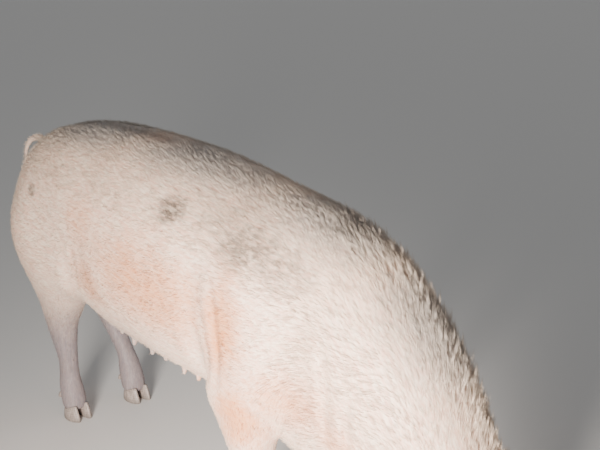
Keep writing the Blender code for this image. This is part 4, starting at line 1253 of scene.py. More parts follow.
@dataclass
class Claws:
    """The main claws and dewclaws of the four feet, as horn with its wall, sole and growth rings."""

    points: int = 36
    dewclaw_points: int = 20
    half_share: float = 1.66  # the whole width in half widths, as the inner wall is flat
    flatness: float = 0.66  # of the inner wall, to the outer one
    ring_ridge: float = 0.006
    # How high each ring lies, in the claw's height, and how wide it is
    profile: Profile = (
        (0.0, 0.9), (0.0, 0.96), (0.03, 0.99), (0.1, 1.0), (0.22, 0.985), (0.36, 0.955),
        (0.5, 0.92), (0.64, 0.88), (0.78, 0.835), (0.9, 0.79), (0.98, 0.74), (1.0, 0.6),
    )
    # How far along a dewclaw each ring lies, in its height, and how wide it is
    dewclaw_profile: Profile = (
        (-0.55, 0.86), (-0.25, 0.98), (0.0, 0.96), (0.2, 0.84), (0.34, 0.66), (0.43, 0.42), (0.47, 0.2)
    )

    @staticmethod
    def outward(node: str) -> int:
        """The way that a claw's outer wall faces: 1 for left, -1 for right."""
        return (1 if "_left_" in node else -1) * (1 if node.endswith("outer") else -1)

    @staticmethod
    def horn(node: str, rings: Sequence[Array]) -> Piece:
        """A piece of horn over rings of points, in a node's place.

        Args:
            node: The node's name.
            rings: The rings, from the root to the tip.

        Returns:
            The piece.
        """
        piece = Shaper.tube("horn_" + node, np.array(rings))
        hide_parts(node)
        return piece

    def claw(self, node: str) -> Piece:
        """One main claw, in the room of the part's own.

        Args:
            node: The part's node.

        Returns:
            The piece.
        """
        low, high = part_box(node)
        length, width, height = (high - low)[:]
        away = self.outward(node)
        full, flat = width / self.half_share, self.flatness * width / self.half_share
        middle_x = high.x - length / 2
        middle_y = high.y - full if away > 0 else low.y + full
        angles = round_angles(self.points)
        forward, side = np.cos(angles), np.sin(angles)
        narrow = 1 - 0.3 * np.clip(forward, 0, None) ** 2
        reach_y = side * narrow * np.where(side * away < 0, flat, full)
        rings = []
        for index, (rise, scale) in enumerate(self.profile):
            ridge = 1 + self.ring_ridge * (index % 2) * (2 < index < 10)
            back = -0.1 * max(0.0, rise - 0.05)
            x = middle_x + length * (0.5 * scale * ridge * forward + back) * 0.985
            y = middle_y + reach_y * scale * ridge
            z = height * rise * (0.8 + 0.2 * forward)
            rings.append(np.stack([x, y, z], axis=1))
        return self.horn(node, rings)

    def dewclaw(self, node: str) -> Piece:
        """One dewclaw, pointing back and down, in the room of the part's own.

        Args:
            node: The part's node.

        Returns:
            The piece.
        """
        low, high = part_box(node)
        frame = frame_along((low + high) / 2, (-0.55, self.outward(node) * 0.28, -0.8), (-1, 0, 0))
        span = high.z - low.z
        angles = round_angles(self.dewclaw_points)
        rings = []
        for along, scale in self.dewclaw_profile:
            radius = 0.235 * span * scale
            rings.append(carried(oval(angles, radius, 0.85 * radius, along * span * 0.92), frame))
        return self.horn(node, rings)

    def build(self) -> list[Piece]:
        """All sixteen pieces of horn."""
        feet = [f"{end}_{side}_{place}" for end in ("fore", "hind") for side in SIDES for place in ("outer", "inner")]
        return [horn for foot in feet for horn in (self.claw("claw_" + foot), self.dewclaw("dewclaw_" + foot))]


# The body's axis from the rump to the snout, as x and z
AXIS = (
    (-0.8, 0.64), (-0.4, 0.6), (0.1, 0.57), (0.34, 0.5), (0.5, 0.42), (0.623, 0.31), (0.84, 0.033)
)
WITHERS, NAPE, POLL = 3, 4, 5  # its points where the neck starts, is halfway and meets the head
BACK_TURN, BELLY_TURN, CREST_HALF = 58, 128, 31  # degrees round the axis from its top


@dataclass
class Places:
    """Where points of the skin lie along and round the body."""

    points: Array
    along: Array = field(init=False)
    tangents: Array = field(init=False)
    angles: Array = field(init=False)

    def __post_init__(self) -> None:
        """Measures every point against the body's axis."""
        line = np.array(AXIS)
        flat = self.points[:, [0, 2]]
        nearest = np.full(len(flat), np.inf)
        self.along = np.zeros(len(flat))
        self.tangents = np.zeros((len(flat), 3))
        height = np.zeros(len(flat))
        start_length = 0.0
        for start, end in zip(line, line[1:]):
            step = end - start
            length = np.linalg.norm(step)
            way = step / length
            t = np.clip((flat - start) @ way, 0, length)
            off = flat - start - t[:, None] * way
            gap = np.linalg.norm(off, axis=1)
            closer = gap < nearest
            nearest = np.where(closer, gap, nearest)
            self.along = np.where(closer, start_length + t, self.along)
            self.tangents = np.where(closer[:, None], [way[0], 0.0, way[1]], self.tangents)
            height = np.where(closer, off @ np.array([-way[1], way[0]]), height)
            start_length += length
        self.angles = np.arctan2(self.points[:, 1], height)

    @staticmethod
    def station(index: int) -> float:
        """Length along the axis up to one of its named points."""
        line = np.array(AXIS)
        return float(np.linalg.norm(np.diff(line[: index + 1], axis=0), axis=1).sum())

    def leg_share(self) -> Array:
        """How far each point belongs to a leg, from 0 to 1.

        Returns:
            The shares.
        """
        x, y, z = self.points.T
        before_head = self.along < self.station(NAPE)
        share = np.zeros(len(x))
        for leg in Flesh().legs():
            placed = leg[::-1]
            heights = [s.z for s in placed]
            middle_x = np.interp(z, heights, [s.x for s in placed]) - MID_LENGTH
            middle_y = np.interp(z, heights, [s.y for s in placed])
            length = np.interp(z, heights, [(s.up + s.down) / 2 for s in placed])
            width = np.interp(z, heights, [s.half_width for s in placed])
            off = np.hypot((x - middle_x) / length, (y - middle_y) / width)
            share = np.maximum(share, 1 - ramp(off, 1.15, 1.45))
        share *= 1 - ramp(z, 0.36, 0.5)
        share = np.maximum(share, 1 - ramp(z, 0.26, 0.3))
        return share * before_head

    def lie(self, normals: Array) -> Array:
        """The way the coat lies: back along the body, down its sides and down the legs.

        Args:
            normals: The skin's normals at the points.

        Returns:
            The ways, square to the normals.
        """
        sides = np.abs(np.sin(self.angles))
        droop = 0.38 * sides * (1 - ramp(self.along, self.station(NAPE), self.station(POLL)))
        way = -self.tangents + np.stack([np.zeros_like(droop), np.zeros_like(droop), -droop], axis=1)
        leg = self.leg_share()[:, None]
        way = way * (1 - leg) + np.array([-0.12, 0.0, -1.0]) * leg
        tail = np.array(smooth_rows(TAIL_LINE, 3)) - [MID_LENGTH, 0, 0]
        on_tail = distance_to_line(self.points, tail[6:]) < 0.022
        if on_tail.any():
            gaps = np.linalg.norm(self.points[on_tail, None] - tail[None], axis=2)
            way[on_tail] = np.gradient(tail, axis=0)[gaps.argmin(axis=1)]
        return laid(way, normals)

    def regions(self) -> Array:
        """The region of each point.

        Returns:
            The regions.
        """
        turn = np.degrees(np.abs(self.angles))
        names = np.full(len(turn), Region.FLANK, dtype=object)
        names[turn < BACK_TURN] = Region.BACK
        names[turn > BELLY_TURN] = Region.BELLY
        names[self.along > self.station(WITHERS)] = Region.NECK
        stray = np.random.default_rng(5).normal(0, 1, (2, len(turn)))
        start = self.station(WITHERS) - 0.12 + 0.035 * stray[0]
        off_crest = np.abs(np.degrees(self.angles) - CREST_TURN)
        on_neck = (self.along > start) & (self.along < self.station(POLL) + 0.05)
        crest = (off_crest < CREST_HALF + 4.5 * stray[1]) & on_neck
        names[self.along > self.station(POLL) - 0.012] = Region.HEAD
        names[crest] = Region.CREST
        names[self.leg_share() > 0.5] = Region.LEGS
        x, _, z = self.points.T
        names[(x < -0.752) & (z > 0.655)] = Region.TAIL
        return names

    def unwrap(self) -> Array:
        """Places on a flat unwrap of the skin: the body, then the four legs beside it.

        Returns:
            The places, from 0 to 1.
        """
        along = self.along / self.station(len(AXIS) - 1)
        u = 0.02 + 0.58 * along
        v = 0.02 + 0.96 * (self.angles / (2 * math.pi) + 0.5)
        leg = self.leg_share() > 0.5
        x, y, z = self.points.T
        hind, left = x < -0.1, y > 0
        middle = np.where(hind, -0.6, 0.255)
        side = np.where(left, 0.11, -0.11)
        turn = np.arctan2(y - side, x - middle) / (2 * math.pi) + 0.5
        u = np.where(leg, 0.64 + 0.34 * np.clip(z / 0.5, 0, 1), u)
        v = np.where(leg, (2 * hind + left) * 0.25 + 0.01 + 0.22 * turn, v)
        return np.stack([u, v], axis=1)


@dataclass(frozen=True)
class Growth:
    """How the bristles grow in one region."""

    tufts: float  # per square metre
    strands: int  # in a tuft
    length: float
    width: float
    lean_root: float  # degrees from square to the skin
    lean_tip: float
    spread: float = 0.0025  # of the strands' roots about the tuft's middle
    gather: float = 0.5  # how far the strands' tips come together
    sway: float = 9.0  # degrees that tufts lie off the coat's way


# Tufts on a square metre, strands in a tuft, length, width, and the leans at the root and the tip
GROWTHS = {
    Region.BACK: Growth(26000, 2, 0.02, 0.00048, 60, 80),
    Region.FLANK: Growth(21000, 2, 0.016, 0.00044, 72, 87),
    Region.BELLY: Growth(9000, 2, 0.013, 0.00042, 64, 80),
    Region.NECK: Growth(27000, 2, 0.02, 0.00048, 60, 80),
    Region.CREST: Growth(32000, 3, 0.032, 0.00055, 58, 78, spread=0.0024, gather=0.9, sway=12),
    Region.HEAD: Growth(30000, 2, 0.009, 0.0004, 68, 84, spread=0.0015),
    Region.LEGS: Growth(23000, 2, 0.011, 0.00042, 68, 84, spread=0.0018),
    Region.TAIL: Growth(30000, 2, 0.013, 0.0005, 52, 66, spread=0.0015),
}
PROUD = Growth(3600, 10, 0.036, 0.00055, 44, 66, spread=0.0024, gather=1.0, sway=12)
WHISKERS = Growth(0, 1, 0.03, 0.0005, 38, 62, sway=14)
EAR_HAIR = Growth(46000, 1, 0.0075, 0.0004, 60, 76)


@dataclass
class Strands:
    """Pointed bristles, held as arrays until they are made one mesh."""

    roots: Array
    normals: Array
    ways: Array
    lengths: Array
    widths: Array
    lean_root: Array
    lean_tip: Array
    patches: Array
    sink: float = 0.0018
    patch: float = 0.003

    def mesh(self, name: str) -> Piece:
        """One object of all the strands, each a closed, three-sided spike with a bend in its middle.

        Args:
            name: The object's name.

        Returns:
            The object, with a map of places for its colours.
        """
        count = len(self.roots)
        across = np.cross(self.normals, self.ways)
        mid_lean = (self.lean_root + self.lean_tip) / 2
        corners = np.empty((count, 7, 3))
        start = self.roots - self.normals * self.sink
        for row, (lean, taper) in enumerate(((self.lean_root, 1.0), (mid_lean, 0.78))):
            _, up = self.bent(lean)
            wide = across * (0.5 * taper * self.widths)[:, None]
            thick = up * (0.62 * taper * self.widths)[:, None]
            corners[:, row * 3] = start + wide
            corners[:, row * 3 + 1] = start + thick
            corners[:, row * 3 + 2] = start - wide
            step = 0.5 * self.lengths + (self.sink if row == 0 else 0.0)
            lean_on = self.lean_root if row == 0 else self.lean_tip
            start = start + self.bent(lean_on)[0] * step[:, None]
        corners[:, 6] = start
        faces = [(2, 1, 0)]
        for i, j in ((0, 1), (1, 2), (2, 0)):
            faces += [(i, j, j + 3), (i, j + 3, i + 3), (i + 3, j + 3, 6)]
        loops = (np.array(faces)[None] + 7 * np.arange(count)[:, None, None]).reshape(-1)
        data = bpy.data.meshes.new(name)
        data.vertices.add(count * 7)
        data.vertices.foreach_set("co", corners.ravel())
        data.loops.add(len(loops))
        data.loops.foreach_set("vertex_index", loops)
        data.polygons.add(len(loops) // 3)
        data.polygons.foreach_set("loop_start", np.arange(0, len(loops), 3))
        offsets = np.array([(-1, -1), (0, -0.7), (1, -1), (-1, 0), (0, 0.3), (1, 0), (0, 1)]) * self.patch / 2
        spots = (self.patches[:, None] + offsets[None]).reshape(-1, 2)[loops]
        layer = data.uv_layers.new(name="OFBake")
        layer.data.foreach_set("uv", spots.ravel())
        data.update(calc_edges=True)
        data.shade_smooth()
        return Shaper.place(name, data)

    def bent(self, lean: Array) -> tuple[Array, Array]:
        """The strands' way at a lean, and the way square to it that faces off the skin.

        Args:
            lean: Each strand's lean from the normal, in degrees.

        Returns:
            The two ways.
        """
        angle = np.radians(lean)[:, None]
        way = self.normals * np.cos(angle) + self.ways * np.sin(angle)
        up = self.normals * np.sin(angle) - self.ways * np.cos(angle)
        return way, up

    def part(self, low: int, high: int) -> Strands:
        """Some of the strands."""
        kept = {name: value[low:high] for name, value in vars(self).items() if isinstance(value, Array)}
        return replace(self, **kept)


@dataclass
class Ground:
    """Triangles that bristles grow on."""

    piece: Piece
    corners: Array = field(init=False)
    normals: Array = field(init=False)
    areas: Array = field(init=False)

    def __post_init__(self) -> None:
        """Reads the piece's triangles."""
        data = self.piece.data
        data.calc_loop_triangles()
        triangles = values_of(data.loop_triangles, "vertices", 3, int)
        self.corners = values_of(data.vertices, "co", 3)[triangles]
        self.normals = values_of(data.vertices, "normal", 3)[triangles]
        edges = self.corners[:, 1:] - self.corners[:, :1]
        self.areas = np.linalg.norm(np.cross(edges[:, 0], edges[:, 1]), axis=1) / 2

    def middles(self) -> Array:
        """The middle of each triangle."""
        return self.corners.mean(axis=1)

    def scatter(self, density: Array, chance: np.random.Generator) -> tuple[Array, Array]:
        """Random places on the triangles.

        Args:
            density: Places per square metre on each triangle.
            chance: The source of random numbers.

        Returns:
            The places and the normals there.
        """
        share = np.cumsum(self.areas * density)
        count = int(share[-1])
        index = np.searchsorted(share, chance.random(count) * share[-1])
        index = np.minimum(index, len(self.areas) - 1)
        first, second = chance.random((2, count))
        over = first + second > 1
        first, second = np.where(over, 1 - first, first), np.where(over, 1 - second, second)
        weights = np.stack([1 - first - second, first, second], axis=1)[..., None]
        points = (self.corners[index] * weights).sum(axis=1)
        normals = (self.normals[index] * weights).sum(axis=1)
        return points, normals / np.linalg.norm(normals, axis=1)[:, None]


@dataclass
class Coat:
    """The bristles over the whole skin."""

    eyes: tuple[Eye, Eye]
    seed: int = 11
    most_strands: int = 19500  # in one piece
    quick_share: float = 0.3
    bare_round_eye: float = 0.0175
    bare_disc: float = 0.018
    lash_count: int = 52
    lash_width: float = 0.00045

    def bareness(self, points: Array) -> Array:
        """0 where no bristles grow: at the eyes, on the snout's disc, along the claws, on the soles.

        Args:
            points: Points on the skin.

        Returns:
            A share from 0 to 1 for each.
        """
        full = ramp(points[:, 2], 0.03, 0.05)
        for eye in self.eyes:
            gap = np.linalg.norm(points - np.array(eye.frame.translation), axis=1)
            full *= ramp(gap, self.bare_round_eye, 1.5 * self.bare_round_eye)
        disc = carried(points, disc_frame().inverted())
        full *= 1 - ramp(disc[:, 2], -self.bare_disc - 0.006, -self.bare_disc)
        return full

    def stature(self, points: Array) -> Array:
        """How long the bristles are for their region: shorter on the face and towards the feet.

        Args:
            points: Points on the skin.

        Returns:
            A share for each.
        """
        head = carried(points, head_frame().inverted())
        on_face = ramp(head[:, 0], 0.02, 0.2) * (np.abs(head[:, 2]) < 0.25)
        return (1 - 0.35 * on_face) * (0.62 + 0.38 * ramp(points[:, 2], 0.04, 0.25))

    @staticmethod
    def feathering(places: Places) -> Array:
        """How tall the crest stands: low at the withers and down its sides, full along the nape.

        Args:
            places: The tufts' places.

        Returns:
            A share for each.
        """
        off_crest = np.abs(np.degrees(places.angles) - CREST_TURN)
        start = Places.station(WITHERS) - 0.18
        along = 0.5 + 0.5 * ramp(places.along, start, start + 0.22)
        return along * (1 - 0.32 * ramp(off_crest, 12, 36))

    def strands(self, points: Array, normals: Array, growth: Growth, chance: np.random.Generator) -> Strands:
        """Tufts at the places, each of its region's count of strands.

        Args:
            points: The tufts' middles on the skin.
            normals: The skin's normals there.
            growth: How the tufts grow.
            chance: The source of random numbers.

        Returns:
            The strands.
        """
        ways = Places(points).lie(normals)
        swirl = np.sin(31 * points[:, 0] + 17 * points[:, 2]) + np.sin(23 * points[:, 1] - 41 * points[:, 0] + 2)
        turn = np.radians(growth.sway) * (0.6 * swirl + chance.normal(0, 0.7, len(points)))
        across = np.cross(normals, ways)
        ways = ways * np.cos(turn)[:, None] + across * np.sin(turn)[:, None]
        tall = self.stature(points) * chance.uniform(0.75, 1.2, len(points))
        if growth in (GROWTHS[Region.CREST], PROUD):
            tall *= self.feathering(Places(points))
        lean = chance.normal(0, 3.5, len(points))
        count = growth.strands
        repeat = np.repeat(np.arange(len(points)), count)
        offset = chance.normal(0, growth.spread, (len(repeat), 2)) if count > 1 else np.zeros((len(repeat), 2))
        across = np.cross(normals, ways)[repeat]
        roots = points[repeat] + across * offset[:, :1] + ways[repeat] * offset[:, 1:]
        lengths = growth.length * tall[repeat] * chance.uniform(0.8, 1.15, len(repeat))
        bend = -np.arctan(growth.gather * offset[:, 0] / lengths)[:, None]
        strand_ways = ways[repeat] * np.cos(bend) + across * np.sin(bend)
        jitter = chance.normal(0, 2.5, len(repeat))
        return Strands(
            roots=roots,
            normals=normals[repeat],
            ways=strand_ways,
            lengths=lengths,
            widths=growth.width * chance.uniform(0.75, 1.2, len(repeat)),
            lean_root=np.clip(growth.lean_root + lean[repeat] + jitter, 5, 84),
            lean_tip=np.clip(growth.lean_tip + lean[repeat] + jitter, 5, 89),
            patches=Places(points).unwrap()[repeat],
        )

    def lashes(self) -> Piece:
        """Long, pale lashes on the upper lids and a few short ones below.

        Returns:
            The lashes.
        """
        chance = np.random.default_rng(self.seed + 50)
        parts = []
        for eye in self.eyes:
            length, height = eye.opening
            for above, count, reach in ((1, self.lash_count, 0.015), (-1, self.lash_count // 3, 0.006)):
                x = chance.uniform(-0.95, 1.05, count) * length
                y = above * height * (1 - 0.55 * np.abs(x / length) ** 1.9) + above * 0.0016
                ball = eye.radius + eye.lid_thickness
                z = np.sqrt(np.clip(ball**2 - (x / 1.45) ** 2 - (y / 1.12) ** 2, 0, None))
                normals = np.stack([0.35 * x / length, np.full(count, above * 0.45), np.full(count, 1.0)], axis=1)
                normals /= np.linalg.norm(normals, axis=1)[:, None]
                ways = np.stack([0.5 * x / length, np.full(count, float(above)), np.zeros(count)], axis=1)
                turn = to_array(eye.frame)[:3, :3].T
                placed = carried(np.stack([x, y, z], axis=1), eye.frame)
                lean = chance.normal(0, 6, count)
                lengths = reach * chance.uniform(0.7, 1.1, count)
                parts.append((placed, normals @ turn, laid(ways, normals) @ turn, lengths, 8 + lean, 38 + lean))
        roots, normals, ways, lengths, lean_root, lean_tip = (np.concatenate(column) for column in zip(*parts))
        widths = np.full(len(roots), self.lash_width)
        patches = Places(roots).unwrap()
        return Strands(roots, normals, ways, lengths, widths, lean_root, lean_tip, patches).mesh("lashes")

    def whiskers(self, ground: Ground) -> Piece:
        """Long, single bristles round the snout, on the chin and over the eyes.

        Args:
            ground: The skin's triangles.

        Returns:
            The whiskers.
        """
        head = carried(ground.middles(), head_frame().inverted())
        x, y, z = head.T
        chin = (x > 0.16) & (x < 0.31) & (z < -0.03)
        muzzle = (x > 0.22) & (x < 0.31) & (z >= -0.03)
        brow = (np.abs(x - 0.112) < 0.018) & (np.abs(z - 0.078) < 0.016) & (np.abs(y) > 0.045)
        density = np.where(chin, 9000.0, 0) + np.where(muzzle, 4500.0, 0) + np.where(brow, 14000.0, 0)
        chance = np.random.default_rng(self.seed + 60)
        points, normals = ground.scatter(density * self.bareness(ground.middles()), chance)
        return self.strands(points, normals, WHISKERS, chance).mesh("whiskers")

    def on_ear(self, ear: Ear, leaf: Piece, amount: float) -> Piece:
        """Short hair on the back of an ear, and a longer fringe along its rim.

        Args:
            ear: The ear.
            leaf: Its piece.
            amount: Share of the hairs to grow.

        Returns:
            The hairs.
        """
        rise, face, across = (to_array(head_frame())[:3, :3] @ np.array(v) for v in ear.axes())
        root = carried(on_side(ear.root, ear.side)[None], head_frame())[0]

        def measure(places: Array) -> tuple[Array, Array]:
            """How far places lie along the ear, in its lengths, and across it, in its half widths."""
            return (places - root) @ rise / ear.length, (places - root) @ across / ear.half_width

        ground = Ground(leaf)
        on_back = ramp(-(ground.normals.mean(axis=1) @ face), -0.15, 0.35)
        along, aside = measure(ground.middles())
        rim = bell(np.abs(aside), ear.rim_at(along), 0.1) + ramp(along, 0.8, 0.93)
        chance = np.random.default_rng(self.seed + 70 + ear.side)
        points, normals = ground.scatter(EAR_HAIR.tufts * amount * (0.12 + on_back + 1.2 * rim), chance)
        along, aside = measure(points)
        ways = np.tile(rise, (len(points), 1)) + 0.35 * np.sign(aside)[:, None] * across
        fringe = bell(np.abs(aside), ear.rim_at(along), 0.08)
        lengths = EAR_HAIR.length * (1 + 0.8 * fringe) * chance.uniform(0.7, 1.2, len(points))
        lean = chance.normal(0, 5, len(points))
        u = 0.615 + 0.01 * np.clip(aside, -1, 1)
        v = (0.26 if ear.side > 0 else 0.76) + 0.22 * np.clip(along, -1, 1)
        strands = Strands(
            roots=points,
            normals=normals,
            ways=laid(ways, normals),
            lengths=lengths,
            widths=np.full(len(points), EAR_HAIR.width),
            lean_root=EAR_HAIR.lean_root + lean,
            lean_tip=np.minimum(EAR_HAIR.lean_tip + lean, 89),
            patches=np.stack([u, v], axis=1),
            sink=0.0008,
        )
        return strands.mesh("bristles_ear_" + side_name(ear.side))

    def build(self, hide: Piece, amount: float = 1.0) -> list[Piece]:
        """The coat's pieces, region by region.

        Args:
            hide: The skin.
            amount: Share of the tufts to grow.

        Returns:
            The pieces.
        """
        ground = Ground(hide)
        middles = ground.middles()
        regions = Places(middles).regions()
        bare = self.bareness(middles)
        pieces = [self.lashes(), self.whiskers(ground)]
        for order, region in enumerate(Region):
            growth = GROWTHS[region]
            density = np.where(regions == region, growth.tufts * bare * amount, 0.0)
            chance = np.random.default_rng(self.seed + order)
            points, normals = ground.scatter(density, chance)
            strands = self.strands(points, normals, growth, chance)
            parts = max(1, math.ceil(len(strands.roots) / self.most_strands))
            bounds = np.linspace(0, len(strands.roots), parts + 1).astype(int)
            for index in range(parts):
                name = f"bristles_{region.value}" + (f"_{index + 1}" if parts > 1 else "")
                pieces.append(strands.part(bounds[index], bounds[index + 1]).mesh(name))
        chance = np.random.default_rng(self.seed + 40)
        fallen = ramp(np.degrees(Places(middles).angles), 0, 16)
        density = np.where(regions == Region.CREST, PROUD.tufts * bare * fallen * amount, 0.0)
        points, normals = ground.scatter(density, chance)
        pieces.append(self.strands(points, normals, PROUD, chance).mesh("bristles_proud"))
        return pieces


class Nodes:
    """Adds shader nodes to a tree and joins them."""

    def __init__(self, tree: bpy.types.NodeTree) -> None:
        """Takes the tree."""
        self.tree = tree

    def put(self, value: object, socket: Socket) -> None:
        """Links a socket to another, or sets its value.

        Args:
            value: The other socket, or the value.
            socket: The socket.
        """
        if isinstance(value, Socket):
            self.tree.links.new(value, socket)
        elif socket.type == "RGBA" and len(value) == 3:
            socket.default_value = (*value, 1.0)
        else:
            socket.default_value = value

    def add(self, kind: str, values: dict[str | int, object], **settings: object) -> bpy.types.Node:
        """A new node.

        Args:
            kind: The node's type, without its leading words.
            values: What goes into its sockets, by their names or numbers.
            settings: The node's own settings.

        Returns:
            The node.
        """
        node = self.tree.nodes.new("ShaderNode" + kind)
        for name, value in settings.items():
            setattr(node, name, value)
        for name, value in values.items():
            self.put(value, node.inputs[name])
        return node

    def shared(self, name: str, values: dict[str, object]) -> bpy.types.NodeOutputs:
        """The outputs of a shared node group, placed in this tree."""
        return self.add("Group", values, node_tree=bpy.data.node_groups[name]).outputs

    def grain(self, place: object, across: float, along: float) -> Socket:
        """Streaks along the lie of the coat."""
        return self.shared("coat_grain", {"Place": place, "Across": across, "Along": along})[0]

    def math(self, operation: str, first: object, second: object = 0.0) -> Socket:
        """An operation on two numbers."""
        return self.add("Math", {0: first, 1: second}, operation=operation).outputs[0]

    def plus(self, first: object, second: object) -> Socket:
        """A sum."""
        return self.math("ADD", first, second)

    def minus(self, first: object, second: object) -> Socket:
        """A difference."""
        return self.math("SUBTRACT", first, second)

    def times(self, first: object, second: object) -> Socket:
        """A product."""
        return self.math("MULTIPLY", first, second)

    def most(self, first: object, second: object) -> Socket:
        """The larger of two numbers."""
        return self.math("MAXIMUM", first, second)

    def blend(self, share: object, first: object, second: object) -> Socket:
        """A colour between two others."""
        return self.add("Mix", {0: share, 6: first, 7: second}, data_type="RGBA").outputs[2]

    def mix(self, share: object, first: object, second: object) -> Socket:
        """A number between two others."""
        return self.add("Mix", {0: share, 2: first, 3: second}, data_type="FLOAT").outputs[0]

    def span(self, value: object, low: float, high: float, out_low: float = 0.0, out_high: float = 1.0) -> Socket:
        """A number carried smoothly from one span to another."""
        values = {"Value": value, "From Min": low, "From Max": high, "To Min": out_low, "To Max": out_high}
        return self.add("MapRange", values, interpolation_type="SMOOTHSTEP").outputs[0]

    def noise(self, place: object, scale: float, detail: float = 4.0, rough: float = 0.6, warp: float = 0.0) -> Socket:
        """Soft noise from 0 to 1."""
        values = {"Vector": place, "Scale": scale, "Detail": detail, "Roughness": rough, "Distortion": warp}
        return self.add("TexNoise", values).outputs[0]

    def cells(self, place: object, scale: float) -> Socket:
        """The distance to the nearest edge between cells."""
        return self.add("TexVoronoi", {"Vector": place, "Scale": scale}, feature="DISTANCE_TO_EDGE").outputs[0]

    def split(self, place: object) -> bpy.types.NodeOutputs:
        """The three coordinates of a place."""
        return self.add("SeparateXYZ", {0: place}).outputs

    def length(self, place: object) -> Socket:
        """A place's distance from the origin."""
        return self.add("VectorMath", {0: place}, operation="LENGTH").outputs[1]

    def placed(
        self, place: object, centre: Sequence[float] = (0, 0, 0), turn: Sequence[float] = (0, 0, 0),
        radii: Sequence[float] = (1, 1, 1),
    ) -> Socket:
        """A place as seen from a frame, in its radii."""
        values = {"Vector": place, "Location": centre, "Rotation": turn, "Scale": radii}
        return self.add("Mapping", values, vector_type="TEXTURE").outputs[0]

    def patches(self, place: object, spots: Spots, ragged: object, soft: float) -> Socket:
        """A mask over several ellipsoids with ragged, soft edges.

        Args:
            place: The place on the object.
            spots: Each ellipsoid's centre, radii and strength.
            ragged: What is added to the distance from each middle.
            soft: Share of each radius over which the mask fades.

        Returns:
            The mask.
        """
        mask: object = 0.0
        for centre, radii, strength in spots:
            gap = self.plus(self.length(self.placed(place, centre, radii=radii)), ragged)
            mask = self.most(mask, self.times(self.span(gap, 1.0, 1.0 - soft), strength))
        return mask


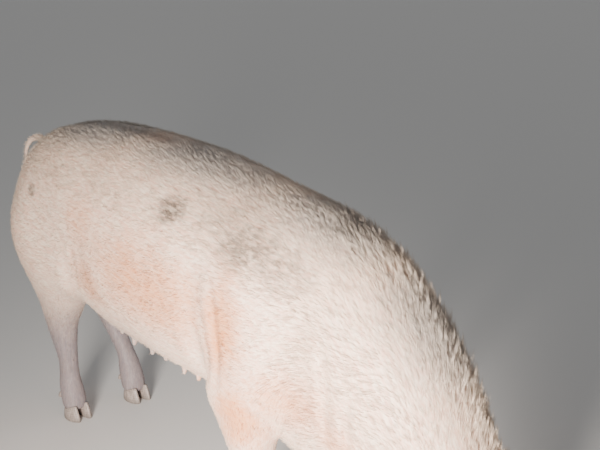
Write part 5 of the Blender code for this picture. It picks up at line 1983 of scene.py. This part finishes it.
class Patterns:
    """Shader node groups that several finishes share."""

    TRUNK_TURN = (0.0, math.radians(8), 0.0)
    HEAD_TURN = (0.0, math.radians(-HEAD_PITCH), 0.0)
    # Centre, radii and strength of each mark
    DIRT = (
        ((-0.007, -0.156, 0.741), (0.066, 0.1, 0.044), 1.0),
        ((0.225, -0.15, 0.712), (0.125, 0.1, 0.06), 0.8),
        ((0.33, -0.145, 0.68), (0.095, 0.1, 0.055), 0.55),
        ((0.15, -0.15, 0.755), (0.23, 0.1, 0.07), 0.42),
        ((-0.561, -0.174, 0.674), (0.028, 0.05, 0.024), 0.85),
        ((-0.48, 0.15, 0.52), (0.12, 0.1, 0.08), 0.45),
        ((0.1, 0.19, 0.48), (0.16, 0.1, 0.06), 0.35),
        ((0.42, 0.0, 0.33), (0.11, 0.16, 0.06), 0.3),
    )
    FLUSH = (
        ((-0.318, -0.15, 0.64), (0.13, 0.12, 0.12), 0.6),
        ((-0.322, -0.186, 0.5), (0.13, 0.12, 0.12), 0.7),
        ((-0.05, -0.19, 0.56), (0.36, 0.13, 0.175), 0.85),
        ((0.195, -0.19, 0.53), (0.11, 0.12, 0.21), 1.0),
        ((0.35, -0.17, 0.41), (0.17, 0.11, 0.11), 0.75),
        ((0.24, -0.19, 0.35), (0.11, 0.11, 0.13), 1.0),
        ((0.3, 0.19, 0.37), (0.12, 0.11, 0.12), 0.7),
        ((0.47, -0.12, 0.36), (0.08, 0.1, 0.07), 0.6),
        ((-0.318, 0.17, 0.56), (0.23, 0.12, 0.17), 0.45),
        ((0.2, 0.19, 0.48), (0.11, 0.12, 0.18), 0.65),
        ((-0.25, 0.0, 0.84), (0.18, 0.08, 0.06), 0.35),
        ((-0.74, 0.0, 0.56), (0.08, 0.09, 0.12), 0.9),
        ((0.0, 0.0, 0.3), (0.36, 0.16, 0.06), 0.8),
    )
    # Painted shade: darker on the top of the back, the nape and the rump's end, where less light falls
    DUSKY = (
        ((-0.44, 0.0, 0.83), (0.36, 0.175, 0.13), 1.0),
        ((-0.05, 0.0, 0.86), (0.45, 0.19, 0.14), 1.0),
        ((0.34, 0.02, 0.77), (0.28, 0.165, 0.155), 0.8),
        ((0.56, 0.03, 0.58), (0.23, 0.15, 0.19), 0.8),
        ((-0.82, 0.0, 0.58), (0.16, 0.22, 0.26), 0.45),
    )

    @staticmethod
    def start(
        name: str, inputs: dict[str, str], outputs: Sequence[str]
    ) -> tuple[Nodes, bpy.types.NodeOutputs, bpy.types.NodeInputs]:
        """A new node group.

        Args:
            name: The group's name.
            inputs: Its inputs' names, and Vector or Float for each.
            outputs: Its outputs' names, all numbers.

        Returns:
            The group's node maker, what comes into it, and what goes out.
        """
        tree = bpy.data.node_groups.new(name, "ShaderNodeTree")
        for label, kind in inputs.items():
            tree.interface.new_socket(label, in_out="INPUT", socket_type="NodeSocket" + kind)
        for label in outputs:
            tree.interface.new_socket(label, in_out="OUTPUT", socket_type="NodeSocketFloat")
        return Nodes(tree), tree.nodes.new("NodeGroupInput").outputs, tree.nodes.new("NodeGroupOutput").inputs

    @classmethod
    def grain(cls) -> None:
        """Fine streaks along the lie of the coat: along the trunk, along the face, and down the legs."""
        sockets = {"Place": "Vector", "Across": "Float", "Along": "Float"}
        nodes, given, out = cls.start("coat_grain", sockets, ["Streaks"])
        place = given["Place"]
        streaks = []
        for turn, axis in ((cls.TRUNK_TURN, 0), (cls.HEAD_TURN, 0), ((0, 0, 0), 2)):
            parts = nodes.split(nodes.placed(place, turn=turn))
            scaled = [nodes.times(parts[k], given["Along" if k == axis else "Across"]) for k in range(3)]
            joined = nodes.add("CombineXYZ", dict(enumerate(scaled))).outputs[0]
            streaks.append(nodes.noise(joined, 1.0, 3.0, warp=0.35))
        x, _, z = nodes.split(place)
        value = nodes.mix(nodes.span(z, 0.4, 0.28), streaks[0], streaks[2])
        nodes.put(nodes.mix(nodes.span(x, 0.34, 0.5), value, streaks[1]), out["Streaks"])

    @classmethod
    def markings(cls) -> None:
        """The marks that skin and bristles share.

        Dirt in smudges and as dust, the flush of the skin where the coat is thin, painted shade on the back, the nape
        and the rump's end, grey legs from dirt on the feet and painted shade higher up the hind legs, and the bare
        snout.
        """
        names = ("Dirt", "Flush", "Feet", "Dust", "Snout", "Dusky")
        nodes, given, out = cls.start("markings", {"Place": "Vector"}, names)
        place = given["Place"]
        broad, fine = nodes.noise(place, 5.0), nodes.noise(place, 26.0, rough=0.65)
        ragged = nodes.minus(nodes.plus(nodes.times(broad, 1.3), nodes.times(fine, 0.7)), 1.0)
        nodes.put(nodes.patches(place, cls.DIRT, ragged, 0.75), out["Dirt"])
        nodes.put(nodes.patches(place, cls.FLUSH, nodes.times(ragged, 0.6), 0.9), out["Flush"])
        # Painted shade over the top of the back, the nape and the rump's end
        nodes.put(nodes.patches(place, cls.DUSKY, nodes.times(ragged, 0.35), 0.8), out["Dusky"])
        # Grey towards the floor: dirt on the feet, and painted shade reaching higher up the hind legs
        x, _, z = nodes.split(place)
        level = nodes.plus(z, nodes.times(ragged, 0.1))
        grey = nodes.mix(nodes.span(x, 0.0, -0.2), nodes.span(level, 0.26, 0.1), nodes.span(level, 0.5, 0.2))
        nodes.put(nodes.times(grey, nodes.span(x, 0.46, 0.4)), out["Feet"])
        nodes.put(nodes.span(fine, 0.45, 0.75), out["Dust"])
        snout = nodes.placed(place, disc_frame().translation, cls.HEAD_TURN)
        ahead = nodes.plus(nodes.split(snout)[0], nodes.times(ragged, 0.01))
        near = nodes.times(nodes.span(ahead, -0.05, -0.008), nodes.span(nodes.length(snout), 0.13, 0.09))
        nodes.put(near, out["Snout"])


@dataclass(frozen=True)
class Paint:
    """What a finish puts into its shader."""

    colour: Socket
    roughness: Socket
    height: Socket | None = None
    strength: float = 0.5
    depth: float = 0.001


@dataclass(frozen=True)
class Finish:
    """A material: its plain numbers and how it is painted."""

    name: str
    specular: float = 0.5
    coat: float = 0.0
    coat_roughness: float = 0.04
    scatter: float = 0.0
    scatter_radius: Colour = (0.012, 0.004, 0.002)

    def paint(self, nodes: Nodes, place: Socket) -> Paint:
        """The colour, roughness and relief at a place on the object."""
        raise NotImplementedError

    def build(self) -> bpy.types.Material:
        """The material.

        Returns:
            The material.
        """
        material = bpy.data.materials.new(self.name)
        material.use_nodes = True
        nodes = Nodes(material.node_tree)
        paint = self.paint(nodes, nodes.add("TexCoord", {}).outputs["Object"])
        values = {
            "Base Color": paint.colour,
            "Roughness": paint.roughness,
            "Specular IOR Level": self.specular,
            "Coat Weight": self.coat,
            "Coat Roughness": self.coat_roughness,
            "Subsurface Weight": self.scatter,
            "Subsurface Radius": self.scatter_radius,
            "Subsurface Scale": 1.0,
        }
        if paint.height is not None:
            relief = {"Height": paint.height, "Strength": paint.strength, "Distance": paint.depth}
            values["Normal"] = nodes.add("Bump", relief).outputs[0]
        shader = material.node_tree.nodes["Principled BSDF"]
        for name, value in values.items():
            nodes.put(value, shader.inputs[name])
        return material


@dataclass(frozen=True)
class Tints:
    """The animal's colours."""

    hair: Colour = (0.66, 0.5, 0.375)
    pale_hair: Colour = (0.8, 0.655, 0.525)
    skin: Colour = (0.72, 0.38, 0.28)
    deep_skin: Colour = (0.6192, 0.3268, 0.2408)
    flush: Colour = (0.6, 0.205, 0.06)
    inner_ear: Colour = (0.72, 0.33, 0.26)
    vein: Colour = (0.48, 0.2, 0.17)
    dirt: Colour = (0.17, 0.125, 0.095)
    # grey of dirty feet, and painted shade up the hind legs
    feet: Colour = (0.178, 0.151, 0.16)
    # painted shade on the top of the back, the nape and the rump's end
    dusky: Colour = (0.255, 0.262, 0.265)
    snout: Colour = (0.66, 0.31, 0.26)
    pupil: Colour = (0.004, 0.004, 0.005)
    iris: Colour = (0.016, 0.008, 0.005)
    pale_iris: Colour = (0.058, 0.028, 0.014)
    iris_rim: Colour = (0.02, 0.01, 0.008)
    white: Colour = (0.62, 0.52, 0.46)
    bloodshot: Colour = (0.48, 0.2, 0.15)
    horn: Colour = (0.185, 0.145, 0.125)
    pale_horn: Colour = (0.335, 0.275, 0.24)
    horn_ring: Colour = (0.42, 0.35, 0.31)
    mud: Colour = (0.13, 0.108, 0.092)
    floor: Colour = (0.72, 0.71, 0.69)


TINTS = Tints()


@dataclass(frozen=True)
class HideFinish(Finish):
    """Pink skin under short, pale hair that lies flat."""

    name: str = "hide"
    specular: float = 0.35
    scatter: float = 0.12

    def paint(self, nodes: Nodes, place: Socket) -> Paint:
        """The colour, roughness and relief at a place on the object.

        Args:
            nodes: The material's node maker.
            place: The place.

        Returns:
            What goes into the shader.
        """
        marks = nodes.shared("markings", {"Place": place})
        streaks = nodes.plus(
            nodes.times(nodes.grain(place, 210.0, 26.0), 0.55), nodes.times(nodes.grain(place, 620.0, 60.0), 0.45)
        )
        skin = nodes.blend(nodes.span(nodes.noise(place, 9.0, 5.0), 0.35, 0.7), TINTS.skin, TINTS.deep_skin)
        skin = nodes.blend(marks["Flush"], skin, TINTS.flush)
        hair = nodes.blend(nodes.span(streaks, 0.4, 0.62), TINTS.hair, TINTS.pale_hair)
        cover = nodes.times(
            nodes.span(streaks, 0.36, 0.6, 0.35, 0.95), nodes.minus(1.0, nodes.times(marks["Flush"], 0.7))
        )
        colour = nodes.blend(nodes.times(cover, nodes.minus(1.0, marks["Snout"])), skin, hair)
        # Grey of dirty feet, with painted shade up the hind legs
        feet = nodes.times(marks["Feet"], nodes.span(streaks, 0.3, 0.65, 1.0, 0.88))
        dirt = nodes.times(marks["Dirt"], nodes.span(nodes.grain(place, 130.0, 60.0), 0.6, 0.42, 0.5, 1.0))
        for share, tint in (
            (nodes.times(marks["Snout"], 0.8), TINTS.snout),
            # Painted shade along the top of the back, the nape and the rump's end
            (nodes.times(marks["Dusky"], 0.68), TINTS.dusky),
            (feet, TINTS.feet),
            (nodes.most(dirt, nodes.times(marks["Dust"], 0.1)), TINTS.dirt),
        ):
            colour = nodes.blend(share, colour, tint)
        pores = nodes.times(nodes.noise(place, 900.0, 2.0, 0.5), 0.12)
        creases = nodes.times(nodes.span(nodes.cells(place, 240.0), 0.0, 0.1), 0.1)
        height = nodes.plus(nodes.plus(streaks, pores), creases)
        rough = nodes.mix(marks["Snout"], nodes.span(streaks, 0.3, 0.7, 0.72, 0.52), 0.36)
        return Paint(colour, rough, height, 0.55, 0.0016)


@dataclass(frozen=True)
class BristleFinish(Finish):
    """Coarse, pale bristles that take the same markings as the skin."""

    name: str = "bristles"
    specular: float = 0.4

    def paint(self, nodes: Nodes, place: Socket) -> Paint:
        """The colour and roughness at a place on the object.

        Args:
            nodes: The material's node maker.
            place: The place.

        Returns:
            What goes into the shader.
        """
        marks = nodes.shared("markings", {"Place": place})
        tufts = nodes.noise(place, 140.0, 2.0)
        dirt = nodes.times(marks["Dirt"], nodes.span(nodes.grain(place, 130.0, 60.0), 0.62, 0.4, 0.38, 0.92))
        hair = nodes.blend(nodes.span(tufts, 0.36, 0.62), TINTS.hair, TINTS.pale_hair)
        for share, tint in (
            (nodes.times(marks["Flush"], 0.78), TINTS.flush),
            # Painted shade along the top of the back, the nape and the rump's end
            (nodes.times(marks["Dusky"], 0.62), TINTS.dusky),
            # Grey of dirty feet, with painted shade up the hind legs
            (nodes.times(marks["Feet"], 0.92), TINTS.feet),
            (dirt, TINTS.dirt),
            (nodes.times(marks["Dust"], 0.1), TINTS.dirt),
        ):
            hair = nodes.blend(share, hair, tint)
        return Paint(hair, nodes.span(tufts, 0.3, 0.7, 0.4, 0.58))


@dataclass(frozen=True)
class EarFinish(Finish):
    """Thin skin with short hair on its back, pink and veined in its hollow."""

    name: str = "ear_skin"
    specular: float = 0.35
    scatter: float = 0.3

    def paint(self, nodes: Nodes, place: Socket) -> Paint:
        """The colour, roughness and relief at a place on the object.

        Args:
            nodes: The material's node maker.
            place: The place.

        Returns:
            What goes into the shader.
        """
        thin = nodes.grain(place, 420.0, 60.0)
        mottle = nodes.noise(place, 30.0)
        skin = nodes.blend(nodes.span(mottle, 0.35, 0.7), TINTS.skin, TINTS.inner_ear)
        colour = nodes.blend(nodes.span(nodes.cells(place, 34.0), 0.05, 0.0, 0.0, 0.35), skin, TINTS.vein)
        colour = nodes.blend(nodes.span(thin, 0.42, 0.62, 0.1, 0.65), colour, TINTS.hair)
        return Paint(colour, nodes.span(mottle, 0.3, 0.7, 0.5, 0.66), thin, 0.4, 0.0008)


@dataclass(frozen=True)
class EyeFinish(Finish):
    """A dark brown iris with a wide pupil, a rim of white, and a wet gloss."""

    name: str = "eye"
    specular: float = 0.6
    coat: float = 1.0

    def paint(self, nodes: Nodes, place: Socket) -> Paint:
        """The colour and roughness at a place on the object.

        Args:
            nodes: The material's node maker.
            place: The place.

        Returns:
            What goes into the shader.
        """
        off_axis, across = (
            nodes.add("Attribute", {}, attribute_name=name).outputs["Fac"] for name in ("off_axis", "across")
        )
        spoke = nodes.add("CombineXYZ", {0: nodes.times(across, 9.0), 1: nodes.times(off_axis, 0.05)}).outputs[0]
        iris = nodes.blend(nodes.span(nodes.noise(spoke, 2.2), 0.35, 0.68), TINTS.iris, TINTS.pale_iris)
        iris = nodes.blend(nodes.span(off_axis, 30.0, 39.0), iris, TINTS.iris_rim)
        colour = nodes.blend(nodes.span(off_axis, 13.5, 17.0), TINTS.pupil, iris)
        red = nodes.span(nodes.noise(place, 320.0, rough=0.7), 0.5, 0.72)
        white = nodes.blend(red, TINTS.white, TINTS.bloodshot)
        colour = nodes.blend(nodes.span(off_axis, 39.5, 43.5), colour, white)
        return Paint(colour, nodes.span(off_axis, 38.0, 46.0, 0.05, 0.2))


@dataclass(frozen=True)
class HornFinish(Finish):
    """Pale horn with growth rings, worn and muddy towards the floor."""

    name: str = "claw_horn"

    def paint(self, nodes: Nodes, place: Socket) -> Paint:
        """The colour, roughness and relief at a place on the object.

        Args:
            nodes: The material's node maker.
            place: The place.

        Returns:
            What goes into the shader.
        """
        wobble = nodes.noise(place, 60.0, 3.0)
        level = nodes.plus(nodes.split(place)[2], nodes.times(wobble, 0.01))
        rings = nodes.math("SINE", nodes.times(level, 1150.0))
        streaks = nodes.noise(nodes.placed(place, radii=(1, 1, 12)), 380.0, 3.0)
        colour = nodes.blend(nodes.span(streaks, 0.35, 0.65), TINTS.horn, TINTS.pale_horn)
        colour = nodes.blend(nodes.span(rings, 0.2, 1.0, 0.0, 0.35), colour, TINTS.horn_ring)
        muddy = nodes.times(nodes.span(level, 0.026, 0.004), nodes.span(wobble, 0.35, 0.6, 0.4, 0.95))
        colour = nodes.blend(muddy, colour, TINTS.mud)
        rough = nodes.mix(muddy, nodes.span(streaks, 0.3, 0.7, 0.34, 0.52), 0.85)
        return Paint(colour, rough, nodes.plus(nodes.times(rings, 0.35), streaks), 0.5, 0.0007)


@dataclass
class Studio:
    """A pale floor, even light from all round with a warmer one from the camera's side, and the camera."""

    camera_at: Point = (1.9138, -1.5611, 1.4895)
    yaw: float = 2.39264
    pitch: float = -0.32107
    roll: float = -0.0133
    focal_length: float = 69.247
    sensor_width: float = 36.0
    floor_size: float = 60.0
    floor_roughness: float = 0.85
    key_at: Point = (1.35, -1.95, 0.7)
    key_aim: Point = (0.42, -0.1, 0.45)
    key_size: float = 0.6
    key_power: float = 54.0
    key_spread: float = 76.0  # degrees
    key_colour: Colour = (1.0, 0.935, 0.875)
    # The broad lights' names, the ways towards them and their colours
    glows: tuple[tuple[str, Point, Colour], ...] = (
        ("fill", (1.7, 3.4, 1.1), (0.97, 0.98, 1.0)),
        ("rear", (-2.4, 2.2, 1.2), (1.0, 0.97, 0.94)),
    )
    glow_strength: float = 0.5
    glow_width: float = 50.0  # degrees of the sky that each takes
    sky_colour: Colour = (0.93, 0.96, 1.0)
    sky_strength: float = 0.2

    def camera(self) -> None:
        """The camera, at the photograph's angle and distance."""
        level = math.cos(self.pitch)
        forward = Vector((math.cos(self.yaw) * level, math.sin(self.yaw) * level, math.sin(self.pitch)))
        turn = forward.to_track_quat("-Z", "Y").to_matrix().to_4x4() @ Matrix.Rotation(self.roll, 4, "Z")
        data = bpy.data.cameras.new("camera")
        data.sensor_width = self.sensor_width
        data.lens = self.focal_length
        piece = Shaper.place("camera", data)
        piece.matrix_world = Matrix.Translation(self.camera_at) @ turn
        bpy.context.scene.camera = piece

    def light(self, name: str, kind: str, way: Vector, power: float, colour: Colour) -> Piece:
        """One light.

        Args:
            name: The light's name.
            kind: Its type.
            way: The way from what it lights towards it.
            power: Its power, or its strength where it is far away.
            colour: Its colour.

        Returns:
            The light, at the origin.
        """
        data = bpy.data.lights.new(name, kind)
        data.energy = power
        data.color = colour
        piece = Shaper.place(name, data)
        piece.matrix_world = way.to_track_quat("Z", "Y").to_matrix().to_4x4()
        return piece

    def lights(self) -> None:
        """A small, warm key light beside the camera, and two broad ones from far away behind the animal."""
        at = Vector(self.key_at)
        key = self.light("key", "AREA", at - Vector(self.key_aim), self.key_power, self.key_colour)
        key.matrix_world = Matrix.Translation(at) @ key.matrix_world
        key.data.size = self.key_size
        key.data.spread = math.radians(self.key_spread)
        for name, way, colour in self.glows:
            glow = self.light(name, "SUN", Vector(way), self.glow_strength, colour)
            glow.data.angle = math.radians(self.glow_width)

    def floor(self) -> None:
        """A plain pale floor."""
        mesh = bmesh.new()
        bmesh.ops.create_grid(mesh, x_segments=1, y_segments=1, size=self.floor_size / 2)
        piece = Shaper.finish("floor", mesh)
        material = bpy.data.materials.new("floor_finish")
        material.use_nodes = True
        shader = material.node_tree.nodes["Principled BSDF"]
        shader.inputs["Base Color"].default_value = (*TINTS.floor, 1)
        shader.inputs["Roughness"].default_value = self.floor_roughness
        piece.data.materials.append(material)

    def world(self) -> None:
        """Even, pale light from all round."""
        world = bpy.data.worlds.new("studio")
        world.use_nodes = True
        background = world.node_tree.nodes["Background"]
        background.inputs["Color"].default_value = (*self.sky_colour, 1)
        background.inputs["Strength"].default_value = self.sky_strength
        bpy.context.scene.world = world

    def build(self) -> None:
        """The whole studio."""
        self.camera()
        self.lights()
        self.floor()
        self.world()


def dress(pieces: Sequence[Piece], finish: Finish) -> None:
    """Gives pieces their finish and slot, and sets them on the animal's one body.

    Args:
        pieces: The pieces.
        finish: Their finish.
    """
    material = finish.build()
    for piece in pieces:
        piece.data.materials.clear()
        piece.data.materials.append(material)
        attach(piece, "root")
        LOG.info("%s: %d faces", piece.name, len(piece.data.polygons))


def main() -> None:
    """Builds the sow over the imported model, then the studio."""
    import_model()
    Patterns.grain()
    Patterns.markings()
    eyes = tuple(Eye(f"eye_{name}", side) for name, side in SIDES.items())
    ears = [Ear(side) for side in SIDES.values()]
    hide = Hide().build(Face(eyes), ears)
    dress([hide], HideFinish())
    dress([eye.build() for eye in eyes], EyeFinish())
    leaves = [ear.build() for ear in ears]
    dress(leaves, EarFinish())
    dress(Claws().build(), HornFinish())
    coat = Coat(eyes)
    amount = 1.0
    bristles = coat.build(hide, amount) + [coat.on_ear(ear, leaf, amount) for ear, leaf in zip(ears, leaves)]
    dress(bristles, BristleFinish())
    Studio().build()


if __name__ == "__main__":
    logging.basicConfig(level=logging.INFO, format="%(message)s")
    main()
